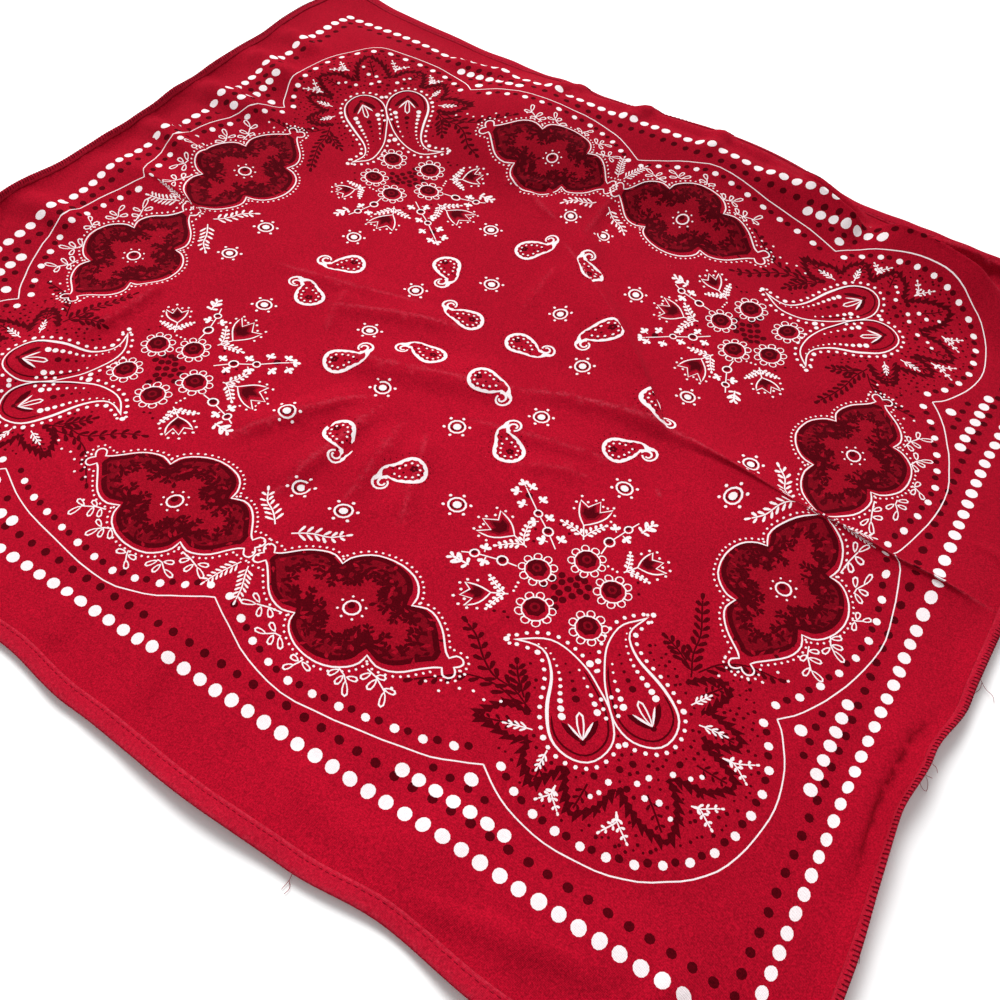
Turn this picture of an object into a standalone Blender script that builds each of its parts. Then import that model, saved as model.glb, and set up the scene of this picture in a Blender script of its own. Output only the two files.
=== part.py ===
"""A printed cotton bandana laid out on a flat surface.

The cloth is one rectangle with a turned hem along its front and back edges and a narrow
overlocked edge along its left and right sides. It rests flat in the middle. Its far side lies in
low billows, soft creases cross it, and its edges lift and curl.

Units are metres. The tables are in millimetres and degrees, and MM turns them into metres.
+X runs along the front edge to the right, +Y from the front edge to the back, +Z up.
"""
import math

import bpy
from mathutils import Vector

MM = 0.001

# Cut of the finished bandana, and its cloth.
CUT_WIDTH = 0.559
CUT_DEPTH = 0.520
WALL = 0.0012
SEAM_GAP = 0.0003

# Finished edges.
HEM_WIDTH = 0.0080
HEM_THICKNESS = 0.0026
OVERLOCK_WIDTH = 0.0045
OVERLOCK_THICKNESS = 0.0022

# Mesh grain.
CELL = 0.0150
MARGIN_ROWS = (0.005, 0.012, 0.020)
PATH_STEPS = 24
SLOPE_STEP = 0.0015

# The laid outline's box is centred on the origin by this shift.
LAID_SHIFT_X = -0.00063
LAID_SHIFT_Y = 0.00139

HALF_X = CUT_WIDTH / 2
HALF_Y = CUT_DEPTH / 2

# Low billows on the far side: where the middle is, how high it stands, how far it reaches.
# name, x, y, height, reach_x, reach_y
BILLOWS = (
    ("far_left", -262, 150, 14, 140, 190),
    ("left_middle", -272, -20, 9, 80, 125),
    ("far_corner", -150, 200, 13, 150, 95),
    ("back_left", -62, 196, 17, 95, 90),
    ("back_middle", 38, 222, 22, 108, 72),
    ("back_right", 165, 210, 7, 105, 58),
)

# Soft creases: a path from a start past a middle to an end, the ridge's height,
# and how far it slopes off on the left and on the right of the path.
# name, start x, y, middle x, y, end x, y, height, reach_left, reach_right
CREASES = (
    ("back_fold", -30, 150, 22, 92, 120, 2, 5.0, 15, 46),
    ("right_pinch", 278, -4, 200, -2, 108, 6, 2.6, 20, 24),
    ("corner_ridge", 62, 236, 104, 227, 142, 213, 6.0, 14, 30),
    ("corner_wave", 134, 230, 182, 219, 268, 186, 7.0, 16, 34),
    ("left_pinch", -276, -14, -232, 4, -176, 2, 2.6, 18, 20),
    ("near_left", -196, -82, -172, -128, -196, -190, 4.0, 22, 26),
    ("far_left_wrinkle", -262, 118, -214, 150, -196, 214, 2.8, 16, 20),
    ("front_middle", -10, -252, -2, -150, -8, -48, 1.6, 24, 24),
    ("near_corner", 96, -214, 170, -226, 236, -205, 3.0, 22, 26),
)

# How each edge lies, row by row along it: how far its margin curls up in degrees, how far the
# whole edge lifts, and how far it is drawn in by small folds or let out.
# along, curl, lift, draw
RIGHT_EDGE = (
    (-260, 24, 0.5, 8.5),
    (-190, 52, 1.0, 7.0),
    (-125, 84, 1.0, 7.5),
    (-94, 66, 1.0, 5.0),
    (-60, 36, 0.5, 0.5),
    (0, 12, 3.0, -1.5),
    (80, 30, 1.5, 0.0),
    (170, 24, 0.0, 0.0),
    (260, 10, 0.0, 3.0),
)
LEFT_EDGE = (
    (-260, 16, 0.0, 0.0),
    (-150, 30, 0.5, 1.0),
    (-60, 66, -1.5, 1.5),
    (-10, 48, -6.0, 1.5),
    (30, 62, -6.5, 1.5),
    (90, 56, -3.0, 0.5),
    (160, 36, -1.5, 0.5),
    (210, 30, 3.0, 0.0),
    (260, 14, 5.0, 0.0),
)
FRONT_EDGE = (
    (-279, 0, 0.5, 0.0),
    (-130, 6, 1.5, 2.0),
    (-60, 4, 1.5, 5.5),
    (-18, 6, 1.8, 0.5),
    (50, 14, 2.6, -3.5),
    (90, 8, 1.6, -2.5),
    (127, 5, 1.2, 1.0),
    (172, 12, 2.4, -3.5),
    (279, 0, 1.0, 0.0),
)
BACK_EDGE = (
    (-279, 12, 4.0, 0.0),
    (-190, 18, -1.0, 1.0),
    (-100, 6, -0.5, 0.0),
    (-30, 14, -2.0, 0.5),
    (40, 24, -5.0, 2.5),
    (110, 16, 0.0, 5.0),
    (190, 36, 0.0, 8.0),
    (279, 18, 1.0, 3.0),
)
CURL_WIDTH_SIDE = 0.016
CURL_WIDTH_HEM = 0.020
LIFT_REACH = 0.045
REST_EASE = 0.0005


def smooth(value):
    """Run from 0 to 1 with a soft start and end."""
    value = min(1.0, max(0.0, value))
    return value * value * (3 - 2 * value)


def rested(height):
    """The height that a place keeps: flat on the ground below 0, easing off it above."""
    if height <= 0:
        return 0.0
    if height < 2 * REST_EASE:
        return height * height / (4 * REST_EASE)
    return height - REST_EASE


def swell(distance):
    """Height share of a soft rise: 1 in its middle, 0 from a distance of 1 on."""
    return max(0.0, 1 - distance * distance) ** 2


def billow_height(x, y):
    """Height of the low billows at a place on the cloth."""
    height = 0.0
    for _, middle_x, middle_y, top, reach_x, reach_y in BILLOWS:
        across = (x - middle_x * MM) / (reach_x * MM)
        along = (y - middle_y * MM) / (reach_y * MM)
        height += top * MM * swell(math.hypot(across, along))
    return height


def crease_path(crease):
    """Points along a crease, on the curve that its start, middle and end give."""
    start = Vector((crease[1], crease[2])) * MM
    middle = Vector((crease[3], crease[4])) * MM
    end = Vector((crease[5], crease[6])) * MM
    handle = 2 * middle - (start + end) / 2
    points = []
    for step in range(PATH_STEPS + 1):
        t = step / PATH_STEPS
        points.append((1 - t) ** 2 * start + 2 * t * (1 - t) * handle + t * t * end)
    return points


CREASE_PATHS = [(crease, crease_path(crease)) for crease in CREASES]


def crease_height(x, y):
    """Height of the crease ridges at a place on the cloth."""
    place = Vector((x, y))
    height = 0.0
    for crease, path in CREASE_PATHS:
        nearest = None
        for step in range(PATH_STEPS):
            leg = path[step + 1] - path[step]
            share = (place - path[step]).dot(leg) / leg.length_squared
            share = min(1.0, max(0.0, share))
            away = place - (path[step] + leg * share)
            if nearest is None or away.length < nearest[0]:
                side = leg.x * away.y - leg.y * away.x
                nearest = (away.length, side, (step + share) / PATH_STEPS)
        distance, side, along = nearest
        reach = crease[8] if side > 0 else crease[9]
        fade = smooth(along / 0.22) * smooth((1 - along) / 0.22)
        height += crease[7] * MM * fade * swell(distance / (reach * MM))
    return height


def edge_state(table, along):
    """Curl (radians), lift and draw (metres) of an edge at a place along it."""
    rows = [(row[0] * MM, math.radians(row[1]), row[2] * MM, row[3] * MM) for row in table]
    if along <= rows[0][0]:
        return rows[0][1:]
    for row, following in zip(rows, rows[1:]):
        if along <= following[0]:
            share = smooth((along - row[0]) / (following[0] - row[0]))
            return [here + (there - here) * share for here, there in zip(row[1:], following[1:])]
    return rows[-1][1:]


def curled(depth, width, curl):
    """Where a margin's point goes as the margin rolls up: how far out, and how high."""
    if depth <= 0:
        return depth, 0.0
    if curl < 0.01:
        return depth, 0.0
    radius = width / curl
    angle = depth / radius
    return radius * math.sin(angle), radius * (1 - math.cos(angle))


def laid(u, v):
    """Where the cut cloth's point (u, v) lies: the underside of the cloth as it rests."""
    x, y = u, v
    height = billow_height(u, v) + crease_height(u, v)
    sides = (
        (RIGHT_EDGE, v, HALF_X - u, CURL_WIDTH_SIDE, 1, 0),
        (LEFT_EDGE, v, HALF_X + u, CURL_WIDTH_SIDE, -1, 0),
        (BACK_EDGE, u, HALF_Y - v, CURL_WIDTH_HEM, 0, 1),
        (FRONT_EDGE, u, HALF_Y + v, CURL_WIDTH_HEM, 0, -1),
    )
    for table, along, inset, width, out_x, out_y in sides:
        if inset > LIFT_REACH:
            continue
        curl, lift, draw = edge_state(table, along)
        depth = width - inset
        out, rise = curled(depth, width, curl)
        near = smooth(1 - inset / LIFT_REACH)
        x += (out - depth - draw * near) * out_x
        y += (out - depth - draw * near) * out_y
        height += rise + lift * near
    return Vector((x + LAID_SHIFT_X, y + LAID_SHIFT_Y, rested(height)))


def surface(u, v, thickness):
    """A point over the laid cloth's underside, moved out along the cloth's normal."""
    point = laid(u, v)
    if thickness == 0:
        return point
    along_u = laid(u + SLOPE_STEP, v) - laid(u - SLOPE_STEP, v)
    along_v = laid(u, v + SLOPE_STEP) - laid(u, v - SLOPE_STEP)
    return point + along_u.cross(along_v).normalized() * thickness


def spread(start, end, near_rows):
    """Grid lines from start to end: a few close to each end, and even cells between them."""
    inner_start = start + near_rows[-1]
    inner_end = end - near_rows[-1]
    cells = max(1, round((inner_end - inner_start) / CELL))
    lines = [start] + [start + row for row in near_rows[:-1]]
    lines += [inner_start + (inner_end - inner_start) * i / cells for i in range(cells + 1)]
    lines += [end - row for row in reversed(near_rows[:-1])] + [end]
    return lines


def make_object(name, vertices, faces, color, roughness):
    """A named object with its own cloth material."""
    mesh = bpy.data.meshes.new(name)
    mesh.from_pydata([tuple(vertex) for vertex in vertices], [], faces)
    mesh.validate()
    mesh.shade_smooth()
    mesh.set_sharp_from_angle(angle=math.radians(50))
    material = bpy.data.materials.new(name)
    material.use_nodes = True
    shader = material.node_tree.nodes["Principled BSDF"]
    shader.inputs["Base Color"].default_value = (*color, 1)
    shader.inputs["Roughness"].default_value = roughness
    shader.inputs["Metallic"].default_value = 0
    mesh.materials.append(material)
    made = bpy.data.objects.new(name, mesh)
    bpy.context.scene.collection.objects.link(made)
    return made


def cloth_panel(columns, rows):
    """The printed square, from hem to hem and from overlocked edge to overlocked edge."""
    across = len(columns)
    vertices = [surface(u, v, WALL) for v in rows for u in columns]
    vertices += [surface(u, v, 0) for v in rows for u in columns]
    under = across * len(rows)
    faces = []
    for j in range(len(rows) - 1):
        for i in range(across - 1):
            a = j * across + i
            faces.append((a, a + 1, a + across + 1, a + across))
            faces.append((under + a, under + a + across, under + a + across + 1, under + a + 1))
    rim = [i for i in range(across)]
    rim += [j * across + across - 1 for j in range(1, len(rows))]
    rim += [(len(rows) - 1) * across + i for i in range(across - 2, -1, -1)]
    rim += [j * across for j in range(len(rows) - 2, 0, -1)]
    for here, there in zip(rim, rim[1:] + rim[:1]):
        faces.append((here, under + here, under + there, there))
    return make_object("cloth", vertices, faces, (0.50, 0.006, 0.020), 0.9)


def edge_band(name, place, stations, width, thickness):
    """A folded band along an edge. place(station, inset) gives the cut cloth's point."""
    inner = width - SEAM_GAP
    round_in = thickness * 0.45
    section = (
        (inner, 0.0),
        (round_in, 0.0),
        (0.0, thickness * 0.5),
        (round_in, thickness),
        (inner, thickness),
    )
    vertices = []
    for station in stations:
        for inset, height in section:
            u, v = place(station, inset)
            vertices.append(surface(u, v, height))
    count = len(section)
    faces = []
    for ring in range(len(stations) - 1):
        for i in range(count):
            a = ring * count + i
            b = ring * count + (i + 1) % count
            faces.append((a, a + count, b + count, b))
    last = (len(stations) - 1) * count
    faces.append(tuple(range(count)))
    faces.append(tuple(last + i for i in reversed(range(count))))
    return make_object(name, vertices, faces, (0.46, 0.006, 0.018), 0.9)


def hems_and_edges(columns, rows):
    """The two turned hems and, between them, the two overlocked edges."""
    hem_stations = [-HALF_X] + columns + [HALF_X]
    side_stations = rows
    edge_band("hem_front", lambda u, inset: (u, -HALF_Y + inset), hem_stations,
              HEM_WIDTH, HEM_THICKNESS)
    edge_band("hem_back", lambda u, inset: (-u, HALF_Y - inset), hem_stations,
              HEM_WIDTH, HEM_THICKNESS)
    edge_band("edge_right", lambda v, inset: (HALF_X - inset, v), side_stations,
              OVERLOCK_WIDTH, OVERLOCK_THICKNESS)
    edge_band("edge_left", lambda v, inset: (-HALF_X + inset, -v), side_stations,
              OVERLOCK_WIDTH, OVERLOCK_THICKNESS)


def clear_scene():
    for item in list(bpy.data.objects):
        bpy.data.objects.remove(item, do_unlink=True)


def bandana():
    """Every piece, on one set of grid lines so that neighbours keep their seam gap."""
    side = HALF_X - OVERLOCK_WIDTH
    end = HALF_Y - HEM_WIDTH
    columns = spread(-side, side, MARGIN_ROWS)
    rows = spread(-end, end, MARGIN_ROWS)
    cloth_panel(columns, rows)
    hems_and_edges(columns, rows)


clear_scene()
bandana()
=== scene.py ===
"""The printed cotton bandana, laid out on a pale surface.

The print is drawn as flat shapes in the cut cloth's own coordinates: millimetres from the middle,
X towards a side edge and Y towards a hem. One quarter is drawn, and mirrored into all four. The
cloth's upper face is triangulated along those shapes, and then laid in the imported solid's form.
"""
import math
import random

import bpy
import numpy as np
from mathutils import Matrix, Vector
from mathutils.geometry import delaunay_2d_cdt


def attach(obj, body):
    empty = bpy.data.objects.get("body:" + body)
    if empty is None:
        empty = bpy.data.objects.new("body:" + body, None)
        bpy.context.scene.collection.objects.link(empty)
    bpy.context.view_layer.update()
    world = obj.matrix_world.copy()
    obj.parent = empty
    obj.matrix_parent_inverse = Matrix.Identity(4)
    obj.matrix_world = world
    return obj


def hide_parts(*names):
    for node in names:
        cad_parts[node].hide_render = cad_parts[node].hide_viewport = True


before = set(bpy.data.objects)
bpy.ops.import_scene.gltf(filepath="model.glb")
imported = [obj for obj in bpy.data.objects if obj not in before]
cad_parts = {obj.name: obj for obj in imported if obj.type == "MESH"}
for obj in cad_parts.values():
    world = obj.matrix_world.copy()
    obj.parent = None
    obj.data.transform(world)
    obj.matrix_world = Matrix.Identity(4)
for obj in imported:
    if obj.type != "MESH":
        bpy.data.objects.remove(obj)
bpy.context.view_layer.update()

MM = 0.001

# ---------------------------------------------------------------------------------- the laid form
# The same cut and the same tables as the solids, in metres and millimetres.
CUT_WIDTH = 0.559
CUT_DEPTH = 0.520
HALF_X = CUT_WIDTH / 2
HALF_Y = CUT_DEPTH / 2
HEM_WIDTH = 0.0080
OVERLOCK_WIDTH = 0.0045
LAID_SHIFT_X = -0.00063
LAID_SHIFT_Y = 0.00139
CURL_WIDTH_SIDE = 0.016
CURL_WIDTH_HEM = 0.020
LIFT_REACH = 0.045
REST_EASE = 0.0005
SLOPE_STEP = 0.0004

# x, y, height, reach_x, reach_y
BILLOWS = (
    (-262, 150, 14, 140, 190),
    (-272, -20, 9, 80, 125),
    (-150, 200, 13, 150, 95),
    (-62, 196, 17, 95, 90),
    (38, 222, 22, 108, 72),
    (165, 210, 7, 105, 58),
)
# start x, y, middle x, y, end x, y, height, reach_left, reach_right
CREASES = (
    (-30, 150, 22, 92, 120, 2, 5.0, 15, 46),
    (278, -4, 200, -2, 108, 6, 2.6, 20, 24),
    (62, 236, 104, 227, 142, 213, 6.0, 14, 30),
    (134, 230, 182, 219, 268, 186, 7.0, 16, 34),
    (-276, -14, -232, 4, -176, 2, 2.6, 18, 20),
    (-196, -82, -172, -128, -196, -190, 4.0, 22, 26),
    (-262, 118, -214, 150, -196, 214, 2.8, 16, 20),
    (-10, -252, -2, -150, -8, -48, 1.6, 24, 24),
    (96, -214, 170, -226, 236, -205, 3.0, 22, 26),
)
# along, curl, lift, draw
RIGHT_EDGE = (
    (-260, 24, 0.5, 8.5), (-190, 52, 1.0, 7.0), (-125, 84, 1.0, 7.5), (-94, 66, 1.0, 5.0),
    (-60, 36, 0.5, 0.5), (0, 12, 3.0, -1.5), (80, 30, 1.5, 0.0), (170, 24, 0.0, 0.0),
    (260, 10, 0.0, 3.0),
)
LEFT_EDGE = (
    (-260, 16, 0.0, 0.0), (-150, 30, 0.5, 1.0), (-60, 66, -1.5, 1.5), (-10, 48, -6.0, 1.5),
    (30, 62, -6.5, 1.5), (90, 56, -3.0, 0.5), (160, 36, -1.5, 0.5), (210, 30, 3.0, 0.0),
    (260, 14, 5.0, 0.0),
)
FRONT_EDGE = (
    (-279, 0, 0.5, 0.0), (-130, 6, 1.5, 2.0), (-60, 4, 1.5, 5.5), (-18, 6, 1.8, 0.5),
    (50, 14, 2.6, -3.5), (90, 8, 1.6, -2.5), (127, 5, 1.2, 1.0), (172, 12, 2.4, -3.5),
    (279, 0, 1.0, 0.0),
)
BACK_EDGE = (
    (-279, 12, 4.0, 0.0), (-190, 18, -1.0, 1.0), (-100, 6, -0.5, 0.0), (-30, 14, -2.0, 0.5),
    (40, 24, -5.0, 2.5), (110, 16, 0.0, 5.0), (190, 36, 0.0, 8.0), (279, 18, 1.0, 3.0),
)


def smooth(value):
    """A soft step from 0 to 1."""
    value = np.clip(value, 0, 1)
    return value * value * (3 - 2 * value)


def swell(distance):
    """A soft bump: 1 at no distance, and 0 from a distance of 1."""
    return np.clip(1 - distance * distance, 0, None) ** 2


def rested(height):
    """The height that a place keeps: flat on the ground below 0, easing off it above."""
    eased = height * height / (4 * REST_EASE)
    return np.where(height <= 0, 0, np.where(height < 2 * REST_EASE, eased, height - REST_EASE))


def through(start, middle, end, steps=24):
    """Points of a soft curve from start past middle to end, in millimetres."""
    start, middle, end = (np.array(p, float) for p in (start, middle, end))
    handle = 2 * middle - (start + end) / 2
    t = np.linspace(0, 1, steps + 1)[:, None]
    return (1 - t) ** 2 * start + 2 * t * (1 - t) * handle + t * t * end


def beside(path, x, y):
    """For places x, y: the distance to a path, which side they are on, and how far along."""
    best = np.full(x.shape, 1e9)
    side = np.zeros(x.shape)
    along = np.zeros(x.shape)
    steps = len(path) - 1
    for i in range(steps):
        leg_x, leg_y = path[i + 1] - path[i]
        away_x, away_y = x - path[i][0], y - path[i][1]
        share = np.clip((away_x * leg_x + away_y * leg_y) / (leg_x ** 2 + leg_y ** 2), 0, 1)
        away_x, away_y = away_x - leg_x * share, away_y - leg_y * share
        distance = np.hypot(away_x, away_y)
        closer = distance < best
        best = np.where(closer, distance, best)
        side = np.where(closer, leg_x * away_y - leg_y * away_x, side)
        along = np.where(closer, (i + share) / steps, along)
    return best, side, along


def ridge(table, x, y, ends=0.22):
    """Height in millimetres of a table of creases at places x, y in millimetres."""
    height = np.zeros(x.shape)
    for row in table:
        path = through(row[0:2], row[2:4], row[4:6])
        distance, side, along = beside(path, x, y)
        reach = np.where(side > 0, row[7], row[8])
        fade = smooth(along / ends) * smooth((1 - along) / ends)
        height += row[6] * fade * swell(distance / reach)
    return height


def edge_state(table, along):
    """Curl in radians, lift and draw in metres, of an edge at places along it."""
    rows = np.array(table, float)
    stops = rows[:, 0] * MM
    place = np.clip(along, stops[0], stops[-1])
    after = np.clip(np.searchsorted(stops, place), 1, len(stops) - 1)
    share = smooth((place - stops[after - 1]) / (stops[after] - stops[after - 1]))
    values = [rows[after - 1, k] + (rows[after, k] - rows[after - 1, k]) * share for k in (1, 2, 3)]
    return np.radians(values[0]), values[1] * MM, values[2] * MM


def curled(depth, width, curl):
    """Where a margin's point goes as the margin rolls up: how far out, and how high."""
    radius = width / np.maximum(curl, 0.01)
    angle = np.clip(depth, 0, None) / radius
    rolls = (depth > 0) & (curl >= 0.01)
    out = np.where(rolls, radius * np.sin(angle), depth)
    return out, np.where(rolls, radius * (1 - np.cos(angle)), 0)


# The cloth's own slack, over the solid's form: broad pulls in its plane, in millimetres.
# x, y, pull_x, pull_y, reach_x, reach_y
PULLS = (
    (10, -172, -7.5, 0.0, 150, 75),
    (-110, -160, -4.0, -1.5, 80, 70),
    (-240, 160, 0.0, -5.0, 85, 90),
    (-215, 20, -4.0, -2.5, 80, 80),
    (40, 165, -9.0, 5.5, 100, 85),
    (160, 170, 4.0, 5.5, 100, 80),
    (-60, 190, 2.5, -2.0, 80, 60),
    (-150, 130, -6.0, 0.5, 90, 80),
    (120, 62, -2.0, -3.5, 70, 55),
    (-100, -60, -2.5, 0.0, 100, 90),
    (240, 150, 4.0, 0.0, 60, 80),
)
PULL_EASE = 34

# Pleats where the cloth laps over itself, the side on the left of the line on top. take is how much
# of each millimetre beside the line is taken up; fades are shares of the line's length.
# start x, y, middle x, y, end x, y, take, width, rise, start_fade, end_fade
PLEATS = (
    (96, 8, 190, 0, 281, -8, 0.98, 14.0, 0.7, 0.30, 0.16),
    (112, 0, 60, 52, -14, 108, 0.95, 7.0, 2.6, 0.15, 0.30),
    (-252, -2, -214, 5, -168, 0, 0.80, 10.0, 0.9, 0.40, 0.35),
    (224, 205, 178, 219, 128, 226, 0.9, 9.0, 3.0, 0.25, 0.25),
    (144, 214, 112, 225, 80, 232, 0.7, 7.0, 2.0, 0.30, 0.30),
)
# In a pleat's widths: how far the lapping side stays raised, and how long its edge takes to rise.
PLEAT_CARRY = 1.9
PLEAT_STEP = 0.84

# Fine creases: a low ridge, and a line along its top where the dye has worn.
# start x, y, middle x, y, end x, y, height, reach_left, reach_right, wear
WRINKLES = (
    (-10, 105, 52, 62, 108, 2, 0.6, 4, 5, 0.9),
    (30, -13, 94, 6, 180, 3, 2.5, 24, 9, 1),
    (168, -1, 222, -3, 279, -8, 1.2, 5, 6, 0.8),
    (-84, -18, -50, -2, -8, 13, 2.2, 15, 10, 0.8),
    (-130, -6, -84, 2, -40, 16, 1.6, 14, 9, 0.6),
    (-66, -47, -12, -30, 46, -6, 3.4, 24, 15, 0.7),
    (22, -44, 60, -34, 104, -24, 1.4, 15, 9, 0.5),
    (-16, -57, -19, -98, -24, -142, 3.0, 9, 14, 0.8),
    (-20, -55, -44, -86, -66, -126, 2.4, 8, 12, 0.7),
    (-2, -62, 3, -92, 6, -124, 1.5, 8, 10, 0.5),
    (12, -62, 23, -88, 34, -118, 1.8, 8, 12, 0.5),
    (54, -58, 74, -46, 92, -42, 1.1, 10, 7, 0.4),
    (-4, 112, 58, 67, 115, 6, -3.4, 16, 5, 0),
    (-82, 2, -78, -18, -70, -38, 1.6, 9, 5, 0.3),
    (-165, -50, -163, -80, -167, -114, 2.6, 6, 12, 0.5),
    (-52, 136, -36, 127, -18, 118, 1.2, 4, 5, 0.6),
    (-66, 132, -52, 140, -28, 148, 1.0, 4, 5, 0.4),
    (-3, 186, -4, 150, 0, 114, 1.2, 5, 6, 0.4),
    (0, 84, 2, 60, 3, 34, 1.2, 7, 7, 0.3),
    (122, -249, 165, -238, 206, -230, 1.8, 5, 8, 0),
    (-20, -214, -2, -228, 4, -249, 1.4, 6, 8, 0),
    (-136, -214, -112, -230, -104, -250, 1.6, 8, 9, 0),
    (256, 26, 267, 25, 278, 21, 1.0, 3, 4, 0),
    (120, -28, 122, -31, 124, -34, 0.8, 2, 2, 0.8),
    (268, -60, 261, -114, 267, -166, 2.8, 4.5, 14, 0),
    (-277, 98, -246, 92, -204, 100, 5.5, 12, 15, 0),
    (-277, 46, -250, 41, -212, 34, 5.0, 10, 13, 0),
    (-276, 142, -250, 138, -222, 124, 4.5, 11, 14, 0),
    (-276, 176, -250, 170, -230, 160, 3.5, 10, 12, 0),
    (-276, -58, -250, -52, -216, -54, 4.0, 13, 14, 0),
    (-168, 224, -138, 221, -108, 229, 5.0, 8, 15, 0),
    (-74, 258, -78, 240, -86, 212, 4.5, 9, 12, 0),
    (-22, 258, -25, 240, -32, 214, 4.0, 9, 12, 0),
    (26, 258, 30, 238, 26, 214, 3.5, 9, 11, 0),
    (-96, 236, 30, 248, 150, 238, 5.5, 24, 14, 0),
    (-100, 196, 24, 203, 146, 194, -5.0, 26, 26, 0),
    (234, 201, 182, 221, 136, 227, 5.6, 20, 6, 0.7),
    (146, 213, 114, 226, 84, 232, 4.2, 14, 6, 0.4),
    (279, 228, 222, 241, 148, 248, 9.0, 6, 10, 0.5),
    (214, 228, 180, 234, 140, 236, 3.0, 5, 5, 0),
    (138, 238, 112, 247, 80, 250, 4.5, 7, 8, 0),
    (196, -252, 214, -236, 224, -206, 1.8, 8, 9, 0),
    (-60, -222, -48, -236, -44, -250, 1.6, 9, 9, 0),
    (60, -224, 84, -236, 118, -240, 1.5, 8, 10, 0),
)
# The share of a crease's length that each end takes to fade, in height and in wear.
WRINKLE_ENDS = 0.3
WORN_ENDS = 0.15
# How far the wear reaches to each side of a crease's top, in millimetres.
WORN_REACH = 1.8

# Rows of closer points beside each pleat and crease, as shares of its width or reach, and the pitch
# along the row in millimetres.
PLEAT_ROWS = (-1.1, -0.75, -0.5, -0.3, -0.14, 0, 0.14, 0.3, 0.5, 0.75, 1.1, 1.6)
PLEAT_PITCH = 3.6
WRINKLE_ROWS = (-0.5, 0, 0.5)
WRINKLE_PITCH = 5.6
ROWS_INSET = 1.5


def pulled(x, y):
    """The broad pull at places x, y; it fades out towards the cut edges."""
    inset = np.minimum(HALF_X / MM - np.abs(x), HALF_Y / MM - np.abs(y))
    hold = smooth(inset / PULL_EASE)
    dx, dy = np.zeros(x.shape), np.zeros(x.shape)
    for middle_x, middle_y, pull_x, pull_y, reach_x, reach_y in PULLS:
        share = swell(np.hypot((x - middle_x) / reach_x, (y - middle_y) / reach_y)) * hold
        dx += pull_x * share
        dy += pull_y * share
    return dx, dy


def unpulled(x, y):
    """The place in the cut cloth that the pulls bring to x, y."""
    u, v = x, y
    for _ in range(4):
        dx, dy = pulled(u, v)
        u, v = x - dx, y - dy
    return u, v


def pleated(x, y):
    """How far the pleats move places x, y in the plane, and how high they lift them."""
    dx, dy, lift = np.zeros(x.shape), np.zeros(x.shape), np.zeros(x.shape)
    for row in PLEATS:
        path = through(row[0:2], row[2:4], row[4:6])
        take, width, rise, start_fade, end_fade = row[6:]
        distance, side, along = beside(path, x, y)
        away = np.where(side > 0, distance, -distance)
        run_x, run_y = row[4] - row[0], row[5] - row[1]
        length = math.hypot(run_x, run_y)
        fade = smooth(along / start_fade) * smooth((1 - along) / end_fade)
        fade = fade * ((along > 0) & (along < 1))
        move = -take * fade * away * np.exp(-(away / width) ** 2)
        dx += -run_y / length * move
        dy += run_x / length * move
        on_top = np.exp(-(np.maximum(away, 0) / (PLEAT_CARRY * width)) ** 2)
        lift += rise * fade * smooth(away / (PLEAT_STEP * width) + 0.5) * on_top
    return dx, dy, lift


def slack(x, y):
    """The cloth's slight unevenness at places x, y: long low ripples that bend, part and fade."""
    first = np.sin((0.45 * x + 0.9 * y + 16 * np.sin(x / 71 + 0.7) + 9 * np.sin(y / 53)) / 4.6)
    second = np.sin((0.8 * x - 0.6 * y + 11 * np.sin(y / 37)) / 6.1)
    third = np.sin((x + 0.2 * y + 7 * np.sin(y / 29 + x / 67)) / 3.4)
    first = first * (0.5 + 0.5 * np.sin(x / 61 - y / 83 + 1.3)) ** 2
    second = second * (0.5 + 0.5 * np.sin(x / 57 + y / 49 + 4.0)) ** 2
    third = third * (0.5 + 0.5 * np.sin(x / 41 - y / 47 + 2.6)) ** 3
    return 0.6 + 0.34 * first + 0.42 * second + 0.2 * third


def laid(u, v):
    """Where the cut cloth's points lie, in metres: the underside of the cloth as it rests."""
    slide_x, slide_y = pulled(u / MM, v / MM)
    a, b = u / MM + slide_x, v / MM + slide_y
    fold_x, fold_y, fold_lift = pleated(a, b)
    creased = ridge(CREASES, a, b) + ridge(WRINKLES, a, b, WRINKLE_ENDS)
    height = (creased + fold_lift + slack(a, b)) * MM
    x, y = (a + fold_x) * MM, (b + fold_y) * MM
    for middle_x, middle_y, top, reach_x, reach_y in BILLOWS:
        across = (x / MM - middle_x) / reach_x
        along = (y / MM - middle_y) / reach_y
        height += top * MM * swell(np.hypot(across, along))
    sides = (
        (RIGHT_EDGE, v, HALF_X - u, CURL_WIDTH_SIDE, 1, 0),
        (LEFT_EDGE, v, HALF_X + u, CURL_WIDTH_SIDE, -1, 0),
        (BACK_EDGE, u, HALF_Y - v, CURL_WIDTH_HEM, 0, 1),
        (FRONT_EDGE, u, HALF_Y + v, CURL_WIDTH_HEM, 0, -1),
    )
    for table, along, inset, width, out_x, out_y in sides:
        curl, lift, draw = edge_state(table, along)
        depth = width - inset
        out, rise = curled(depth, width, curl)
        near = smooth(1 - inset / LIFT_REACH)
        close = inset <= LIFT_REACH
        x += np.where(close, out - depth - draw * near, 0) * out_x
        y += np.where(close, out - depth - draw * near, 0) * out_y
        height += np.where(close, rise + lift * near, 0)
    return np.stack([x + LAID_SHIFT_X, y + LAID_SHIFT_Y, rested(height)], axis=1)


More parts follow.
